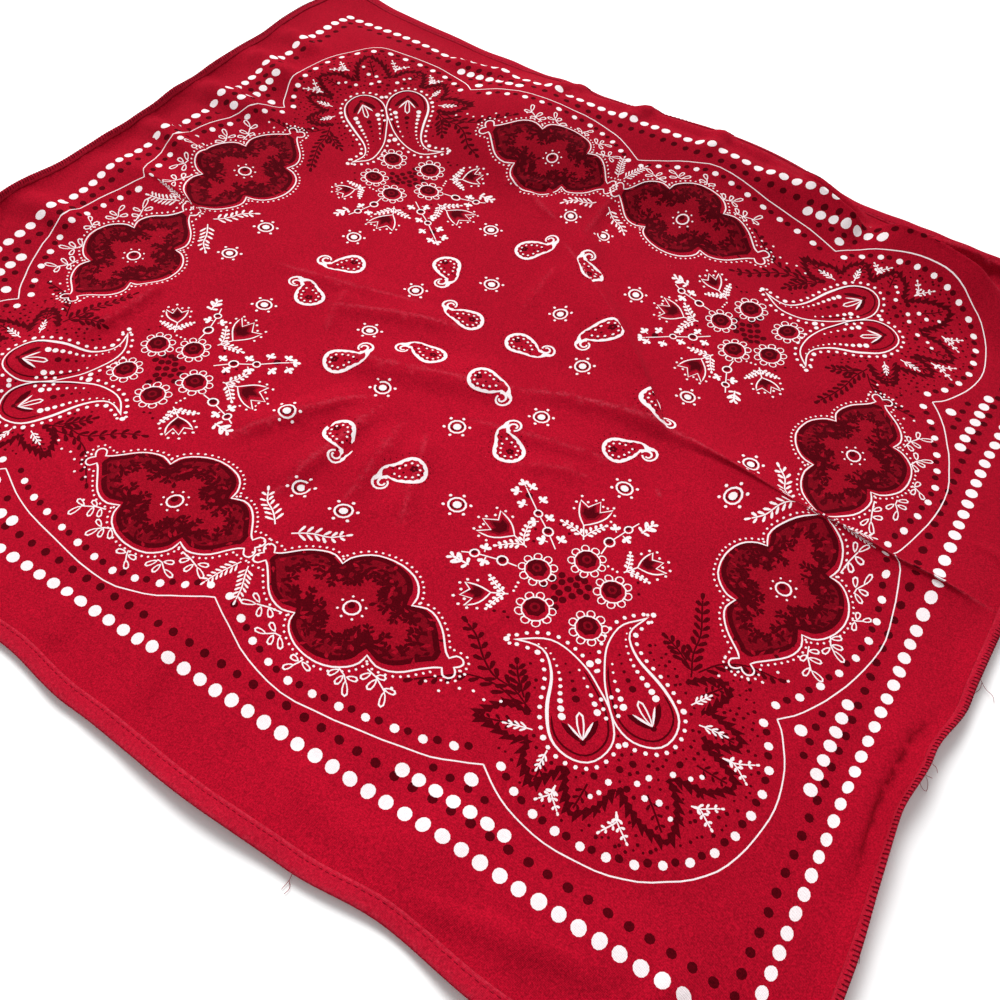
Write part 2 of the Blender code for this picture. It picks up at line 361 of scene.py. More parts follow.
def worn(u, v):
    """How worn the dye is at places in the cut cloth, 0 to 1: along the tops of the creases."""
    slide_x, slide_y = pulled(u / MM, v / MM)
    a, b = u / MM + slide_x, v / MM + slide_y
    wear = np.zeros(u.shape)
    for row in WRINKLES:
        distance, _, along = beside(through(row[0:2], row[2:4], row[4:6]), a, b)
        fade = smooth(along / WORN_ENDS) * smooth((1 - along) / WORN_ENDS)
        wear = np.maximum(wear, row[9] * fade * smooth(1 - distance / WORN_REACH))
    return wear


def rows_beside(crease, pitch, asides):
    """Places at some distances aside of a crease's line, every pitch along it."""
    path = through(crease[0:2], crease[2:4], crease[4:6])
    length = float(np.hypot(*(path[1:] - path[:-1]).T).sum())
    count = max(2, round(length / pitch))
    places = []
    for k in range(count + 1):
        share = k / count * (len(path) - 1)
        leg = min(int(share), len(path) - 2)
        run = path[leg + 1] - path[leg]
        middle = path[leg] + run * (share - leg)
        run = run / np.hypot(*run)
        places += [middle + np.array([-run[1], run[0]]) * aside for aside in asides]
    return places


def closer_rows(limit_x, limit_y, table):
    """Rows of places in the cut cloth along each pleat or crease, in millimetres."""
    places = []
    for row in table:
        if table is PLEATS:
            pitch, asides = PLEAT_PITCH, [away * row[7] for away in PLEAT_ROWS]
        else:
            pitch, asides = WRINKLE_PITCH, [away * row[7 if away > 0 else 8] for away in WRINKLE_ROWS]
            asides += [-WORN_REACH, WORN_REACH] if row[9] else []
        places += rows_beside(row, pitch, asides)
    places = np.array(places)
    limit_x, limit_y = limit_x - ROWS_INSET, limit_y - ROWS_INSET
    us, vs = unpulled(places[:, 0], places[:, 1])
    return [(x, y) for x, y in zip(us, vs) if abs(x) < limit_x and abs(y) < limit_y]


def surface(u, v, thickness):
    """Points over the laid cloth's underside, out along its normal, and the normals."""
    point = laid(u, v)
    along_u = laid(u + SLOPE_STEP, v) - laid(u - SLOPE_STEP, v)
    along_v = laid(u, v + SLOPE_STEP) - laid(u, v - SLOPE_STEP)
    normal = np.cross(along_u, along_v)
    normal /= np.linalg.norm(normal, axis=1)[:, None]
    return point + normal * np.reshape(thickness, (-1, 1)), normal


# ------------------------------------------------------------------------------------- the print
# Two screens: WHITE with RED left out of it, and DARK and WINE with BARE left out of them. The white
# screen lies over the dark one, which was set a little off it.
RED, WHITE, DARK, WINE, BARE = 0, 1, 2, 3, 4
DARK_SCREEN_X = -0.8
DARK_SCREEN_Y = 0.7
QUARTERS = ((1, 1), (-1, 1), (-1, -1), (1, -1))
drawn = []
# A disc of a radius under the first value has as many sides as the second.
DISC_SIDES = ((0.75, 5), (1.0, 6), (1.4, 7), (2.2, 9), (math.inf, 12))


def fill(ink, points):
    """Prints a closed shape in an ink, over what is drawn before it."""
    drawn.append((ink, [(float(x), float(y)) for x, y in points]))


def disc(ink, x, y, radius):
    """Prints a dot."""
    count = next(sides for limit, sides in DISC_SIDES if radius < limit)
    turn = math.pi / count
    fill(ink, [(x + radius * math.cos(turn + math.tau * k / count),
                y + radius * math.sin(turn + math.tau * k / count)) for k in range(count)])


def discs(ink, places, radius):
    """Prints a dot at each place."""
    for x, y in places:
        disc(ink, x, y, radius)


def ring(x, y, radius, width, ink):
    """A white ring, filled with an ink."""
    disc(WHITE, x, y, radius)
    disc(RED, x, y, radius - width)
    if ink != RED:
        disc(ink, x, y, radius - width)


def curve(keys, per):
    """A smooth line through the keys, in so many steps from each to the next."""
    keys = [np.array(k, float) for k in keys]
    keys = [2 * keys[0] - keys[1]] + keys + [2 * keys[-1] - keys[-2]]
    points = []
    for a, b, c, d in zip(keys, keys[1:], keys[2:], keys[3:]):
        for k in range(per):
            t = k / per
            points.append(0.5 * (2 * b + (c - a) * t + (2 * a - 5 * b + 4 * c - d) * t * t
                                 + (3 * b - a - 3 * c + d) * t ** 3))
    return points + [keys[-2]]


def shifted(points, distance, closed=True):
    """A line moved to its left, by one distance or by one for each point."""
    count = len(points)
    moved = []
    for k in range(count):
        before = points[k - 1] if closed or k else points[0]
        after = points[(k + 1) % count] if closed or k < count - 1 else points[-1]
        run = np.array(after, float) - np.array(before, float)
        run /= max(1e-9, math.hypot(*run))
        share = distance[k] if hasattr(distance, "__len__") else distance
        moved.append((points[k][0] - run[1] * share, points[k][1] + run[0] * share))
    return moved


def stroke(ink, points, width):
    """A line of a given width, or of a width for each point."""
    half = [w / 2 for w in width] if hasattr(width, "__len__") else [width / 2] * len(points)
    left = shifted(points, half, closed=False)
    right = shifted(points, [-h for h in half], closed=False)
    fill(ink, left + right[::-1])


SHORT_LEAF = 4.6


def leaf(ink, base, tip, width, blunt=0.0):
    """A leaf from base to tip: pointed, or blunt at its tip."""
    base, tip = np.array(base, float), np.array(tip, float)
    run = tip - base
    side = np.array([-run[1], run[0]]) / max(1e-9, math.hypot(*run)) * width / 2
    if math.hypot(*run) < SHORT_LEAF:
        steps = ((0.35, 0.9), (0.82, 0.8 + 0.2 * blunt))
    else:
        steps = ((0.22, 0.66), (0.55, 1.0), (0.86, 0.62 + 0.3 * blunt))
    right = [base + run * t - side * share for t, share in steps]
    left = [base + run * t + side * share for t, share in steps]
    fill(ink, [base] + right + [tip] + left[::-1])


def flame(ink, base, tip, width):
    """A narrow finger from base to tip, widest past its middle."""
    (ax, ay), (bx, by) = base, tip
    reach = max(1e-9, math.hypot(bx - ax, by - ay))
    side_x, side_y = -(by - ay) / reach * width / 2, (bx - ax) / reach * width / 2
    shape = [base]
    for along, wide in ((0.62, -1), (0.98, -0.4), (0.98, 0.4), (0.62, 1)):
        shape.append((ax + (bx - ax) * along + side_x * wide, ay + (by - ay) * along + side_y * wide))
    fill(ink, shape)


def loop_leaf(base, tip, width, line):
    """A leaf in outline, its line so wide."""
    base, tip = np.array(base, float), np.array(tip, float)
    run = (tip - base) / max(1e-9, math.hypot(*(tip - base)))
    leaf(WHITE, base, tip, width, 1)
    leaf(RED, base + run * line * 1.5, tip - run * line * 1.3, width - 2 * line, 1)


def spots(points, pitch, start=0.0):
    """Places every pitch along a line."""
    places = []
    gone, due = 0.0, start
    for a, b in zip(points, points[1:]):
        a, b = np.array(a, float), np.array(b, float)
        length = math.hypot(*(b - a))
        while length > 0 and due <= gone + length:
            places.append(tuple(a + (b - a) * (due - gone) / length))
            due += pitch
        gone += length
    return places


def inside(x, y, shape):
    """True where a place lies inside a shape."""
    within = False
    for (ax, ay), (bx, by) in zip(shape, shape[1:] + shape[:1]):
        if (ay > y) != (by > y) and x < ax + (y - ay) / (by - ay) * (bx - ax):
            within = not within
    return within


def heading(x, y, degrees, reach):
    """The place at a reach from x, y in a direction."""
    return x + reach * math.cos(math.radians(degrees)), y + reach * math.sin(math.radians(degrees))


def placed(points, x, y, degrees, flip=False):
    """A motif's own points: mirrored, turned and moved to x, y."""
    cos, sin = math.cos(math.radians(degrees)), math.sin(math.radians(degrees))
    sign = -1 if flip else 1
    return [(x + px * cos - sign * py * sin, y + px * sin + sign * py * cos) for px, py in points]


def fern(ink, keys, pairs, length, width, stem, spread=52, sides=(1, -1), ends=True):
    """A stem with pairs of leaflets that lean towards its tip, and one at the tip where it ends so."""
    path = curve(keys, 4)
    stroke(ink, path, stem)
    total = sum(math.hypot(*(np.array(b) - a)) for a, b in zip(path, path[1:]))
    pitch = total / (pairs + 0.5)
    for k, (x, y) in enumerate(spots(path, pitch, pitch * 0.75)):
        near = min(range(len(path)), key=lambda i: math.hypot(path[i][0] - x, path[i][1] - y))
        a, b = path[max(0, near - 1)], path[min(len(path) - 1, near + 1)]
        way = math.degrees(math.atan2(b[1] - a[1], b[0] - a[0]))
        reach = length * (1 - 0.35 * k / max(1, pairs))
        for side in sides:
            base = heading(x, y, way + side * spread, stem * 0.5)
            leaf(ink, base, heading(x, y, way + side * spread, reach), width, 1)
    if ends:
        a, b = path[-2], path[-1]
        way = math.degrees(math.atan2(b[1] - a[1], b[0] - a[0]))
        leaf(ink, b, heading(*b, way, length * 0.7), width, 1)


def sprig(x, y, degrees):
    """A small white sprig: leaflets that spread from one foot."""
    foot = heading(x, y, degrees + 180, 2.75)
    start = heading(*foot, degrees, 1.5)
    for spread, length in ((-58, 3.1), (0, 3.75), (58, 3.1)):
        leaf(WHITE, start, heading(*start, degrees + spread, length), 1.75, 1)
    stroke(WHITE, [foot, heading(*foot, degrees, 2.5)], 0.55)


def border():
    """The two rows of dots round the edge, and the short rows beside them."""
    for k in range(32):
        disc(WHITE, 249 - 8.032 * k, 223, 2.8)
    for k in range(1, 29):
        disc(WHITE, 249, 223 - 7.825 * k, 2.8)
    for k in range(30):
        disc(DARK, 241 - 8.169 * k, 213.8, 2.0)
    for k in range(1, 27):
        disc(DARK, 240, 214 - 8.075 * k, 2.0)
    for k in range(7):
        disc(WHITE, 102.6 + 7.27 * k, 209.6, 2.7)
        disc(WHITE, 235.3, 86.4 + 7.27 * k, 2.7)
    for k in range(4):
        disc(DARK, 112.4 + 7.3 * k, 203, 1.7)
        disc(DARK, 228.6, 97 + 7.3 * k, 1.7)
    disc(WHITE, 125.5, 198.4, 2.7)
    disc(WHITE, 223.2, 108.2, 2.7)


CORNER_LINE = (
    (126.4, 190.9), (134.8, 197.1), (145.9, 201.7), (159.8, 203.6), (175.1, 202.9),
    (190.3, 199.2), (204.2, 191.6), (215.3, 181.8), (222.3, 169.3), (225.8, 154.1),
    (226.4, 140.2), (223.7, 127.7), (218.1, 115.2), (213.3, 109.3),
)
HEM_LINE = ((0, 191), (12, 197.5), (28, 205.5), (47, 210), (70.9, 207.7), (98.7, 202.3),
            (112.6, 197.8), (126.4, 190.9))
SIDE_LINE = ((213.3, 109.3), (221, 100), (229.5, 84), (236, 66), (239, 47), (236.5, 27),
             (231, 9), (227, 0))


def scallops():
    """The thin scalloped line, and the white and dark dots that follow it on the inside."""
    for line, pitch in ((HEM_LINE, 5.7), (CORNER_LINE, 5.2), (SIDE_LINE, 5.7)):
        path = curve(line, 3)
        stroke(WHITE, path, 0.58)
        for k, (x, y) in enumerate(spots(shifted(path, -5.8, closed=False), pitch, 2.6)):
            disc((WHITE, DARK)[k % 2], x, y, (1.85, 1.65)[k % 2])


# ---- quatrefoils: their own x runs along the border, and their own y runs out of the cloth
LOBE_END = ((43.5, 2.6), (41, 4.3), (37.6, 8), (33.5, 12.6), (28.5, 16), (23, 17.2), (17.6, 15.2))
LOBE_SIDE = ((17.6, 15.2), (17, 19.6), (14, 24), (9, 27.4), (3, 29), (0, 29.1))
TIP_CURL = ((47, 0), (48.4, 1.4), (49.1, 3.6), (47.7, 5.4), (45.3, 5.2), (43.7, 2.7))
TIP_DOTS = ((47.5, 0), (49, 1.6), (49.3, 3.8), (47.8, 5.6), (44.6, 5.6))
# stem of a sprig, then the base and tip of each looped leaf on it
LOOP_SPRIGS = (
    (((-22, 18.4), (-27.6, 19.3), (-32.6, 21)),
     ((-31.9, 19.8, -37, 17.6), (-32.6, 21, -39.3, 24.4), (-30.7, 20.6, -29.2, 25.6),
      (-27.8, 19.4, -24.2, 22.8))),
    (((-15.6, 27.4), (-18.4, 27.5), (-21.4, 29.6)),
     ((-18.6, 27, -23.4, 24.4), (-21.2, 29.6, -27.3, 30.6), (-18.6, 28.2, -18, 33.4),
      (-16.2, 27.6, -12.6, 32.4))),
    (((-1.9, 31.0), (-2.6, 33), (-4.2, 35.6)),
     ((-2.9, 32.9, -7.6, 32.2), (-2, 32.3, 2.9, 33.8), (-3.8, 35, -7.4, 38.6))),
    (((11.2, 26), (15.2, 27.7), (17.2, 29.6)),
     ((12.4, 26.5, 9.2, 31), (15, 27.8, 14.2, 33), (16.2, 28, 21, 26), (16.9, 29.2, 20, 35.4))),
    (((21.2, 20), (26, 21.2), (31.8, 24.8)),
     ((23.6, 20.6, 21, 25), (26.6, 21.6, 25.6, 27.6), (25.4, 21, 29.6, 19.3), (30.4, 23.8, 35.8, 22.8),
      (31.4, 24.6, 34, 31.2))),
)
# the white ferns at a quatrefoil's end: stem, pairs, leaflet length and width, stem width
END_FERNS = (
    (((-44.9, -14.4), (-38, -20), (-31.5, -23), (-27.5, -27.5)), 6, 5.2, 1.25, 0.65),
    (((-47.3, 8.8), (-45.5, 13), (-43, 18.5), (-41.2, 24.5)), 7, 4.4, 0.95, 0.6),
)
NOTCH_X, NOTCH_Y = 15.6, 13.2
# turn and length of each coral branch at a notch
NOTCH_CORAL = ((-98, 7.4), (-54, 6.8), (-12, 5.6), (32, 6.4), (78, 7.4))
RIM_STEPS = 72
RIM_BUDS = 124


def coral(place, x, y, way, length, pairs, chance):
    """A dark branch with long buds, in a quatrefoil's own coordinates."""
    path = [(x, y)]
    for step in range(pairs + 1):
        way += chance.uniform(-16, 16)
        x, y = heading(x, y, way, length / (pairs + 1))
        path.append((x, y))
        if step < pairs:
            for side in (1, -1):
                bud = heading(x, y, way + side * chance.uniform(34, 54), chance.uniform(2.7, 3.9))
                flame(DARK, *place([(x, y), bud]), 1.55)
    stroke(DARK, place(path[:-1]), [2.2] + [1.6] * (pairs - 1) + [1.1])
    flame(DARK, *place([path[-2], heading(x, y, way, 1.2)]), 1.6)


def whole(quarter):
    """A quatrefoil's outline from its first quarter, which starts on its own x axis."""
    top = [tuple(p) for p in quarter] + [(-x, y) for x, y in quarter[-2::-1]]
    return top + [(x, -y) for x, y in top[-2:0:-1]]


def bare_middle(place, chance):
    """The bare middle, frayed at its rim. Returns the rim's even line."""
    bare, rim = [], []
    for k in range(RIM_STEPS):
        angle = math.tau * k / RIM_STEPS
        share = abs(math.cos(2 * angle)) ** 1.2
        reach = 9.5 + ((30 if math.cos(2 * angle) > 0 else 18) - 9.5) * share
        rim.append((reach * math.cos(angle), reach * math.sin(angle)))
        reach += (1.5 if k % 2 else -1.2) + chance.uniform(-0.6, 0.6)
        bare.append((reach * math.cos(angle), reach * math.sin(angle)))
    fill(BARE, place(bare))
    return rim


def notch_coral(place, x, y, chance):
    """A dark arc round a notch, and the coral that spreads from it."""
    facing = math.degrees(math.atan2(-math.copysign(13.0, y), -math.copysign(15.4, x)))
    arc = [heading(x, y, facing + turn, 5.0) for turn in range(-120, 121, 30)]
    arc += [heading(x, y, facing + turn, 1.6) for turn in range(120, -121, -60)]
    fill(DARK, place(arc))
    for turn, length in NOTCH_CORAL:
        foot = heading(x, y, facing + turn, 4.0)
        coral(place, *foot, facing + turn + chance.uniform(-8, 8), length, 2, chance)


def rim_coral(place, rim, chance):
    """Coral and loose buds that grow from the rim into the bare middle."""
    for x, y in rim[::2]:
        if abs(abs(x) - abs(y) * 1.18) < 5:
            continue
        way = math.degrees(math.atan2(-y, -x * (0.25 if abs(x) > 18 else 1))) + chance.uniform(-22, 22)
        coral(place, *heading(x, y, way, -3.6), way, chance.uniform(4.2, 7.2), 2, chance)
    for k in range(RIM_BUDS):
        x, y = rim[k * RIM_STEPS // RIM_BUDS]
        out = math.degrees(math.atan2(y, x))
        x, y = heading(x, y, out, chance.uniform(0.6, 8.4))
        tip = heading(x, y, out + chance.uniform(-70, 70) + 180 * (k % 2), chance.uniform(2.6, 4.4))
        flame((BARE, DARK, DARK, DARK)[k % 4], *place([(x, y), tip]), chance.uniform(1.3, 2.0))


def quatrefoil(place, seed):
    """An outlined dark quatrefoil with coral branches in it, dots, curls, sprigs and ferns."""
    chance = random.Random(seed)
    lobes = curve(LOBE_END, 2)[:-1] + curve(LOBE_SIDE, 2)
    outline = whole(curve(TIP_CURL, 2)[:-1] + lobes)
    fill(WHITE, place(shifted(outline, -0.37)))
    fill(RED, place(shifted(outline, 0.37)))
    inner = [(x - 0.4, y) for x, y in shifted(whole([(43, 0.6)] + lobes[1:]), 1.6)]
    fill(DARK, place(inner))
    fill(WINE, place(shifted(inner, 2.3)))
    rim = bare_middle(place, chance)
    for side_x, side_y in QUARTERS:
        notch_coral(place, side_x * NOTCH_X, side_y * NOTCH_Y, chance)
    rim_coral(place, rim, chance)
    dotted = shifted(whole(list(TIP_DOTS) + lobes[2:]), -2.0)
    discs(WHITE, place(spots(dotted + dotted[:1], 2.9)), 0.6)
    centre = place([(0, 0)])[0]
    ring(*centre, 3.9, 0.85, RED)
    disc(DARK, *centre, 1.6)
    discs(WHITE, [heading(*centre, 45 * k + 10, 5.7) for k in range(8)], 0.6)
    for stem, leaves in LOOP_SPRIGS:
        stroke(WHITE, place(stem), 0.6)
        for ax, ay, bx, by in leaves:
            loop_leaf(*place([(ax, ay), (bx, by)]), 2.6, 0.6)
    for keys, pairs, length, width, stem in END_FERNS:
        fern(WHITE, place(keys), pairs, length, width, stem, spread=50)


def along_hem(points):
    """A quatrefoil's own points, placed beside the hem."""
    return [(49.5 + x, 162.4 + y) for x, y in points]


def along_side(points):
    """The same points, placed beside the side edge."""
    return [(192 + y, 48 + x) for x, y in points]


def along_line(points, shares):
    """Places at shares of a line's length."""
    points = np.array([tuple(p) for p in points], float)
    gone = np.concatenate([[0], np.cumsum(np.linalg.norm(np.diff(points, axis=0), axis=1))])
    values = [np.interp(np.array(shares) * gone[-1], gone, column) for column in points.T]
    return [tuple(float(value) for value in place) for place in zip(*values)]


# ---- paisleys: a spine from the tip to the round end, and a width that swells along it
def swelling(share, across, taper):
    """Half the width at a share of the spine. A higher taper keeps the tail thin for longer."""
    return across * math.sqrt(abs(math.sin(math.pi * share ** taper)))


def comma(spine, across, taper, count):
    """A paisley's outline of count even points, from its tip round to the left."""
    shares = [math.sin(math.pi / 2 * k / 40) for k in range(41)]
    line = along_line(curve(spine, 8), shares)
    half = [swelling(share, across, taper) for share in shares]
    outline = shifted(line, [-h for h in half], closed=False)
    outline += shifted(line, half, closed=False)[-2:0:-1]
    return along_line(outline + outline[:1], [k / count for k in range(count)])


def curl(x, y, start, sweep, first, last):
    """A spiral round x, y from a direction through a sweep, its radius from first to last."""
    shares = [k / 10 for k in range(11)]
    return [heading(x, y, start + sweep * t, first + (last - first) * t) for t in shares]


# One of the corner's large pair. ACROSS is half its width at the widest.
LARGE_SPINE = ((107.5, 137), (119, 131.4), (132, 136.4), (144, 149.5), (158, 168.5))
LARGE_ACROSS = 13.2
LARGE_TAPER = 2.6
LARGE_POINTS = 52
# where its bud stands, and the bud's direction
LARGE_HEART = (144, 149.5, 53.6)
# ink, how far aside, first and last share of the spine, count, first and last radius
LARGE_DOTS = (
    (WHITE, 0.56, 0.15, 0.71, 12, 0.45, 1.6),
    (WHITE, -0.56, 0.42, 0.70, 6, 0.6, 1.6),
    (DARK, 0.0, 0.38, 0.62, 5, 0.6, 1.6),
)


def large_paisley(place, turn):
    """One of the corner's pair. turn is 1 where its points run round to the left once placed."""
    outline = place(comma(LARGE_SPINE, LARGE_ACROSS, LARGE_TAPER, LARGE_POINTS))
    count = len(outline)
    width = [0.36 + 0.34 * math.exp(-((k / count - 0.76) / 0.10) ** 2) for k in range(count)]
    fill(WHITE, shifted(outline, [-w * turn for w in width]))
    fill(RED, shifted(outline, [w * turn for w in width]))
    first, last = round(count * 0.24), round(count * 0.74)
    lining = shifted(outline, 1.9 * turn)[first:last]
    stroke(DARK, lining, [0.3] + [0.85] * (len(lining) - 2) + [0.3])
    for ink, aside, start, end, dots, small, big in LARGE_DOTS:
        shares = [start + (end - start) * k / (dots - 1) for k in range(dots)]
        offsets = [aside * swelling(share, LARGE_ACROSS, LARGE_TAPER) for share in shares]
        row = shifted(along_line(curve(LARGE_SPINE, 8), shares), offsets, closed=False)
        for k, (x, y) in enumerate(place(row)):
            disc(ink, x, y, small + (big - small) * (k / (dots - 1)) ** 2)

    def bud(*points):
        return place(placed(points, *LARGE_HEART))
    for side, across in ((1, 2.8), (-1, 3.4)):
        leaf(DARK, *bud((16.4, 0.6 * side), (7.4, 7.5 * side)), across)
    disc(DARK, *bud((16.4, 0))[0], 1.3)
    loop_leaf(*bud((14.4, 0), (2.0, 0)), 3.3, 0.7)
    leaf(WHITE, *bud((14.4, 0), (7.0, 5.2)), 1.0)
    leaf(WHITE, *bud((14.4, 0), (7.0, -5.2)), 1.2)
    return outline


def paisley_pair():
    """The two large paisleys, mirrored across the corner, and the dots round them."""
    low = large_paisley(lambda points: [tuple(p) for p in points], 1)
    high = large_paisley(lambda points: [(y + 12, x - 12) for x, y in points], -1)
    around = shifted(low, -2.7)
    other = shifted(high, 2.7)
    for path, rival in ((around, high), (other, low)):
        for k, (x, y) in enumerate(spots(path + path[:1], 4.35)):
            gap = min(math.hypot(x - px, y - py) for px, py in rival)
            if gap > 2.0:
                disc(WHITE, x, y, 0.95 if k % 9 else 1.3)
    discs(WHITE, ((107.2, 139.5), (104.9, 136.5), (148.2, 94.6), (151.4, 96.8)), 0.8)
    disc(WHITE, 138.6, 129.2, 1.6)


# ---- the corner's dark leaves: tip, and the points of each side from the tip back to its root
CORNER_LEAVES = (
    ((113.7, 177.1), ((117, 170.5), (119.8, 166), (125, 163.3), (131.5, 163)),
     ((118.5, 176.3), (124.5, 176.6), (131, 176.6), (135.8, 173.2))),
    ((145.8, 189.6), ((141, 185), (137, 181), (135.6, 173.5)),
     ((147.6, 185), (150.5, 180), (152.8, 174.4))),
    ((163, 190.8), ((159, 186), (155.4, 181), (152.8, 174.4)),
     ((167, 187.2), (171.2, 182.6), (173.5, 171.6))),
    ((199.4, 180.4), ((193, 180.2), (187, 179.6), (180.5, 176), (173.6, 171.4)),
     ((199.8, 173.5), (197.5, 167), (193, 160.5), (188.7, 156.7))),
    ((212.4, 146.4), ((207.5, 151), (203, 154.8), (196, 155.6), (190, 156.6)),
     ((207.5, 141.6), (200.5, 138.4), (193, 136.4))),
    ((207.6, 129.2), ((203.2, 133), (197.5, 135.4), (191.5, 134.6)),
     ((203.8, 125), (197.4, 123.2), (191, 122.2), (187, 124.4))),
    ((192.4, 106.8), ((187, 108), (181.5, 111), (177, 116.5)),
     ((193.6, 112), (191.5, 117.5), (188.4, 123.6))),
)


def serrated(keys, hand):
    """A heavy dark line from a leaf's tip to its root. Its teeth stand out to one hand."""
    path = spots(curve(keys, 4), 0.8)
    foot, tip = shifted(path, 0.35 * hand, False), shifted(path, 2.9 * hand, False)
    shallow, deep = shifted(path, -1.1 * hand, False), shifted(path, -2.2 * hand, False)
    teeth = [path[0]]
    for k in range(2, len(path) - 1, 5):
        teeth += [foot[k], tip[k - 1]]
    back = [(deep, shallow)[k // 2 % 2][k] for k in range(1, len(path), 2)]
    fill(DARK, teeth + [path[-1]] + back[::-1])


# x, y, direction and size of each small white fern
CORNER_FERNS = (
    (129.9, 169.7, 160, 9), (143.2, 176.4, 90, 8), (184.2, 119.3, -60, 8.6), (193.2, 128.7, -8, 9.5),
)
# foot, fork and the two tips of each forked white sprig
FORKED_SPRIGS = (
    ((202, 137.3), (206.4, 136.8), ((213.6, 132.6), (212.8, 141.2))),
    ((199.7, 161.3), (203, 160.6), ((209.6, 156.4), (209.2, 164.8))),
    ((176.9, 178.8), (178.6, 182), ((175.1, 188.6), (184.9, 186.6))),
    ((152.6, 182.8), (152.8, 186.6), ((149.6, 190.6), (157.6, 191.2))),
)
STIPPLE_TRIES = 5200
STIPPLE_GAP = 2.0
SOLID_SHAPE = 45


def corner_leaves():
    """The ring of toothed dark leaves round the corner's paisleys, with ferns, sprigs and dots."""
    for tip, first, second in CORNER_LEAVES:
        serrated((tip,) + first, -1)
        serrated((tip,) + second, 1)
        root = np.mean([first[-1], second[-1]], axis=0)
        vein = [root + (np.array(tip) - root) * t for t in (0.2, 0.5, 0.8)]
        fern(DARK, vein, 3, 3.6, 1.15, 0.8, ends=False)
    for x, y, way, size in CORNER_FERNS:
        stem = [heading(x, y, way + 180, size * 0.5), (x, y), heading(x, y, way, size * 0.5)]
        fern(WHITE, stem, 3, size * 0.40, 0.85, 0.55, spread=32)
    for foot, fork, tips in FORKED_SPRIGS:
        for tip in tips:
            fern(WHITE, [foot, fork, tip], 3, 2.7, 1.0, 0.55, spread=50)
    discs(WHITE, ((188.7, 154.1), (181.3, 160.6), (178.5, 165), (183.7, 168.5), (189, 167.1),
                  (168.8, 170.6)), 1.35)
    discs(WHITE, ((195.3, 152), (198.6, 149), (195.3, 170.3), (167.6, 176.2), (165.5, 179.5)), 1.05)
    discs(DARK, ((174.4, 159.6), (189.9, 149.7), (163.9, 172.2), (177, 170), (171, 164.6)), 1.5)


def stipple():
    """Dark specks between the corner's leaves and the scalloped line, clear of what is drawn."""
    chance = random.Random(11)
    taken = [(x, y) for _, shape in drawn for x, y in shape if x > 96 and y > 86]
    line = np.array([tuple(p) for p in curve(CORNER_LINE, 3)])
    shapes = [shape for _, shape in drawn if len(shape) > SOLID_SHAPE]
    for _ in range(STIPPLE_TRIES):
        x, y = chance.uniform(112, 222), chance.uniform(96, 198)
        if x + y < 262 or (x + y < 292 and abs(x - y - 12) > 46):
            continue
        nearest = np.argmin(np.hypot(line[:, 0] - x, line[:, 1] - y))
        outward = np.hypot(x - 150, y - 135) - np.hypot(line[nearest, 0] - 150, line[nearest, 1] - 135)
        if outward > -8:
            continue
        near = min(math.hypot(x - a, y - b) for a, b in taken)
        if near > STIPPLE_GAP and not any(inside(x, y, shape) for shape in shapes):
            disc(DARK, x, y, chance.uniform(0.55, 0.95))
            taken += [(x + 0.9, y + 0.9), (x - 0.9, y - 0.9)]


def dark_ferns():
    """The dark ferns on both sides of the corner, and the small dots along them."""
    for keys, pairs, sides in (
        (((131, 162.4), (121, 158), (112, 157.2), (104.5, 153), (97, 146), (90, 142.2)), 9, (1, -1)),
        (((125.5, 158.6), (120.5, 153.5), (116, 147.5)), 4, (1, -1)),
        (((128, 163.4), (114, 160.2), (104, 162), (96, 168.6), (88, 176.5)), 8, (-1,)),
        (((177.5, 112), (174, 102), (172.5, 92), (169, 82), (165.8, 75)), 9, (1, -1)),
        (((174.5, 107.5), (168.5, 103.5), (162, 101)), 4, (1, -1)),
        (((179, 108), (186, 98.5), (196, 93.5), (207, 92)), 8, (1,)),
    ):
        fern(DARK, keys, pairs, 6.0, 2.0, 0.8, 44, sides)
    discs(WHITE, ((101.4, 162.5), (95.8, 167.8), (103.4, 169.2), (108.1, 166.9), (113, 167.8),
                  (118.5, 164.8), (97.7, 174.5), (91.2, 173.9), (82.5, 184.1)), 0.7)
    discs(WHITE, ((186, 104.2), (191.5, 99.6), (196.5, 98.4), (202, 96.6), (184.5, 94.5),
                  (205.6, 88.4), (210.6, 90)), 0.7)


# ---- the bouquet
PETALS = 9
DAISY_TEETH = 14


def daisy(x, y, turn):
    """A flower with looped petals round a ringed, toothed dark middle."""
    for ink, reach, radius in ((WHITE, 6.9, 2.1), (RED, 7.05, 1.5)):
        for k in range(PETALS):
            disc(ink, *heading(x, y, turn + 360 * k / PETALS, reach), radius)
    ring(x, y, 6.2, 0.62, RED)
    fill(DARK, [heading(x, y, turn + 360 * k / DAISY_TEETH, 4.75 if k % 2 else 4.1)
                for k in range(DAISY_TEETH)])
    disc(WINE, x, y, 2.2)
    disc(DARK, x, y, 1.2)


TULIP = ((0, 0), (-4.4, 4.6), (-7, 9.6), (-7.6, 15.6), (-3, 10.6), (0, 16.6), (3.4, 10.6),
         (8.4, 12.4), (6.6, 7.4), (4, 3.6))
TULIP_WINE = ((-0.4, 2.4), (3.4, 4.6), (5.6, 9.6), (2.4, 9.0), (0.6, 14.0), (-2.2, 9.4), (-5.4, 10.8),
              (-4.4, 5.2))
TULIP_DARK = ((-0.4, 3.8), (2.6, 5.2), (3.8, 8.4), (1.6, 8.4), (0.4, 11.8), (-1.6, 8.6), (-4.0, 9.2),
              (-3.2, 5.6))


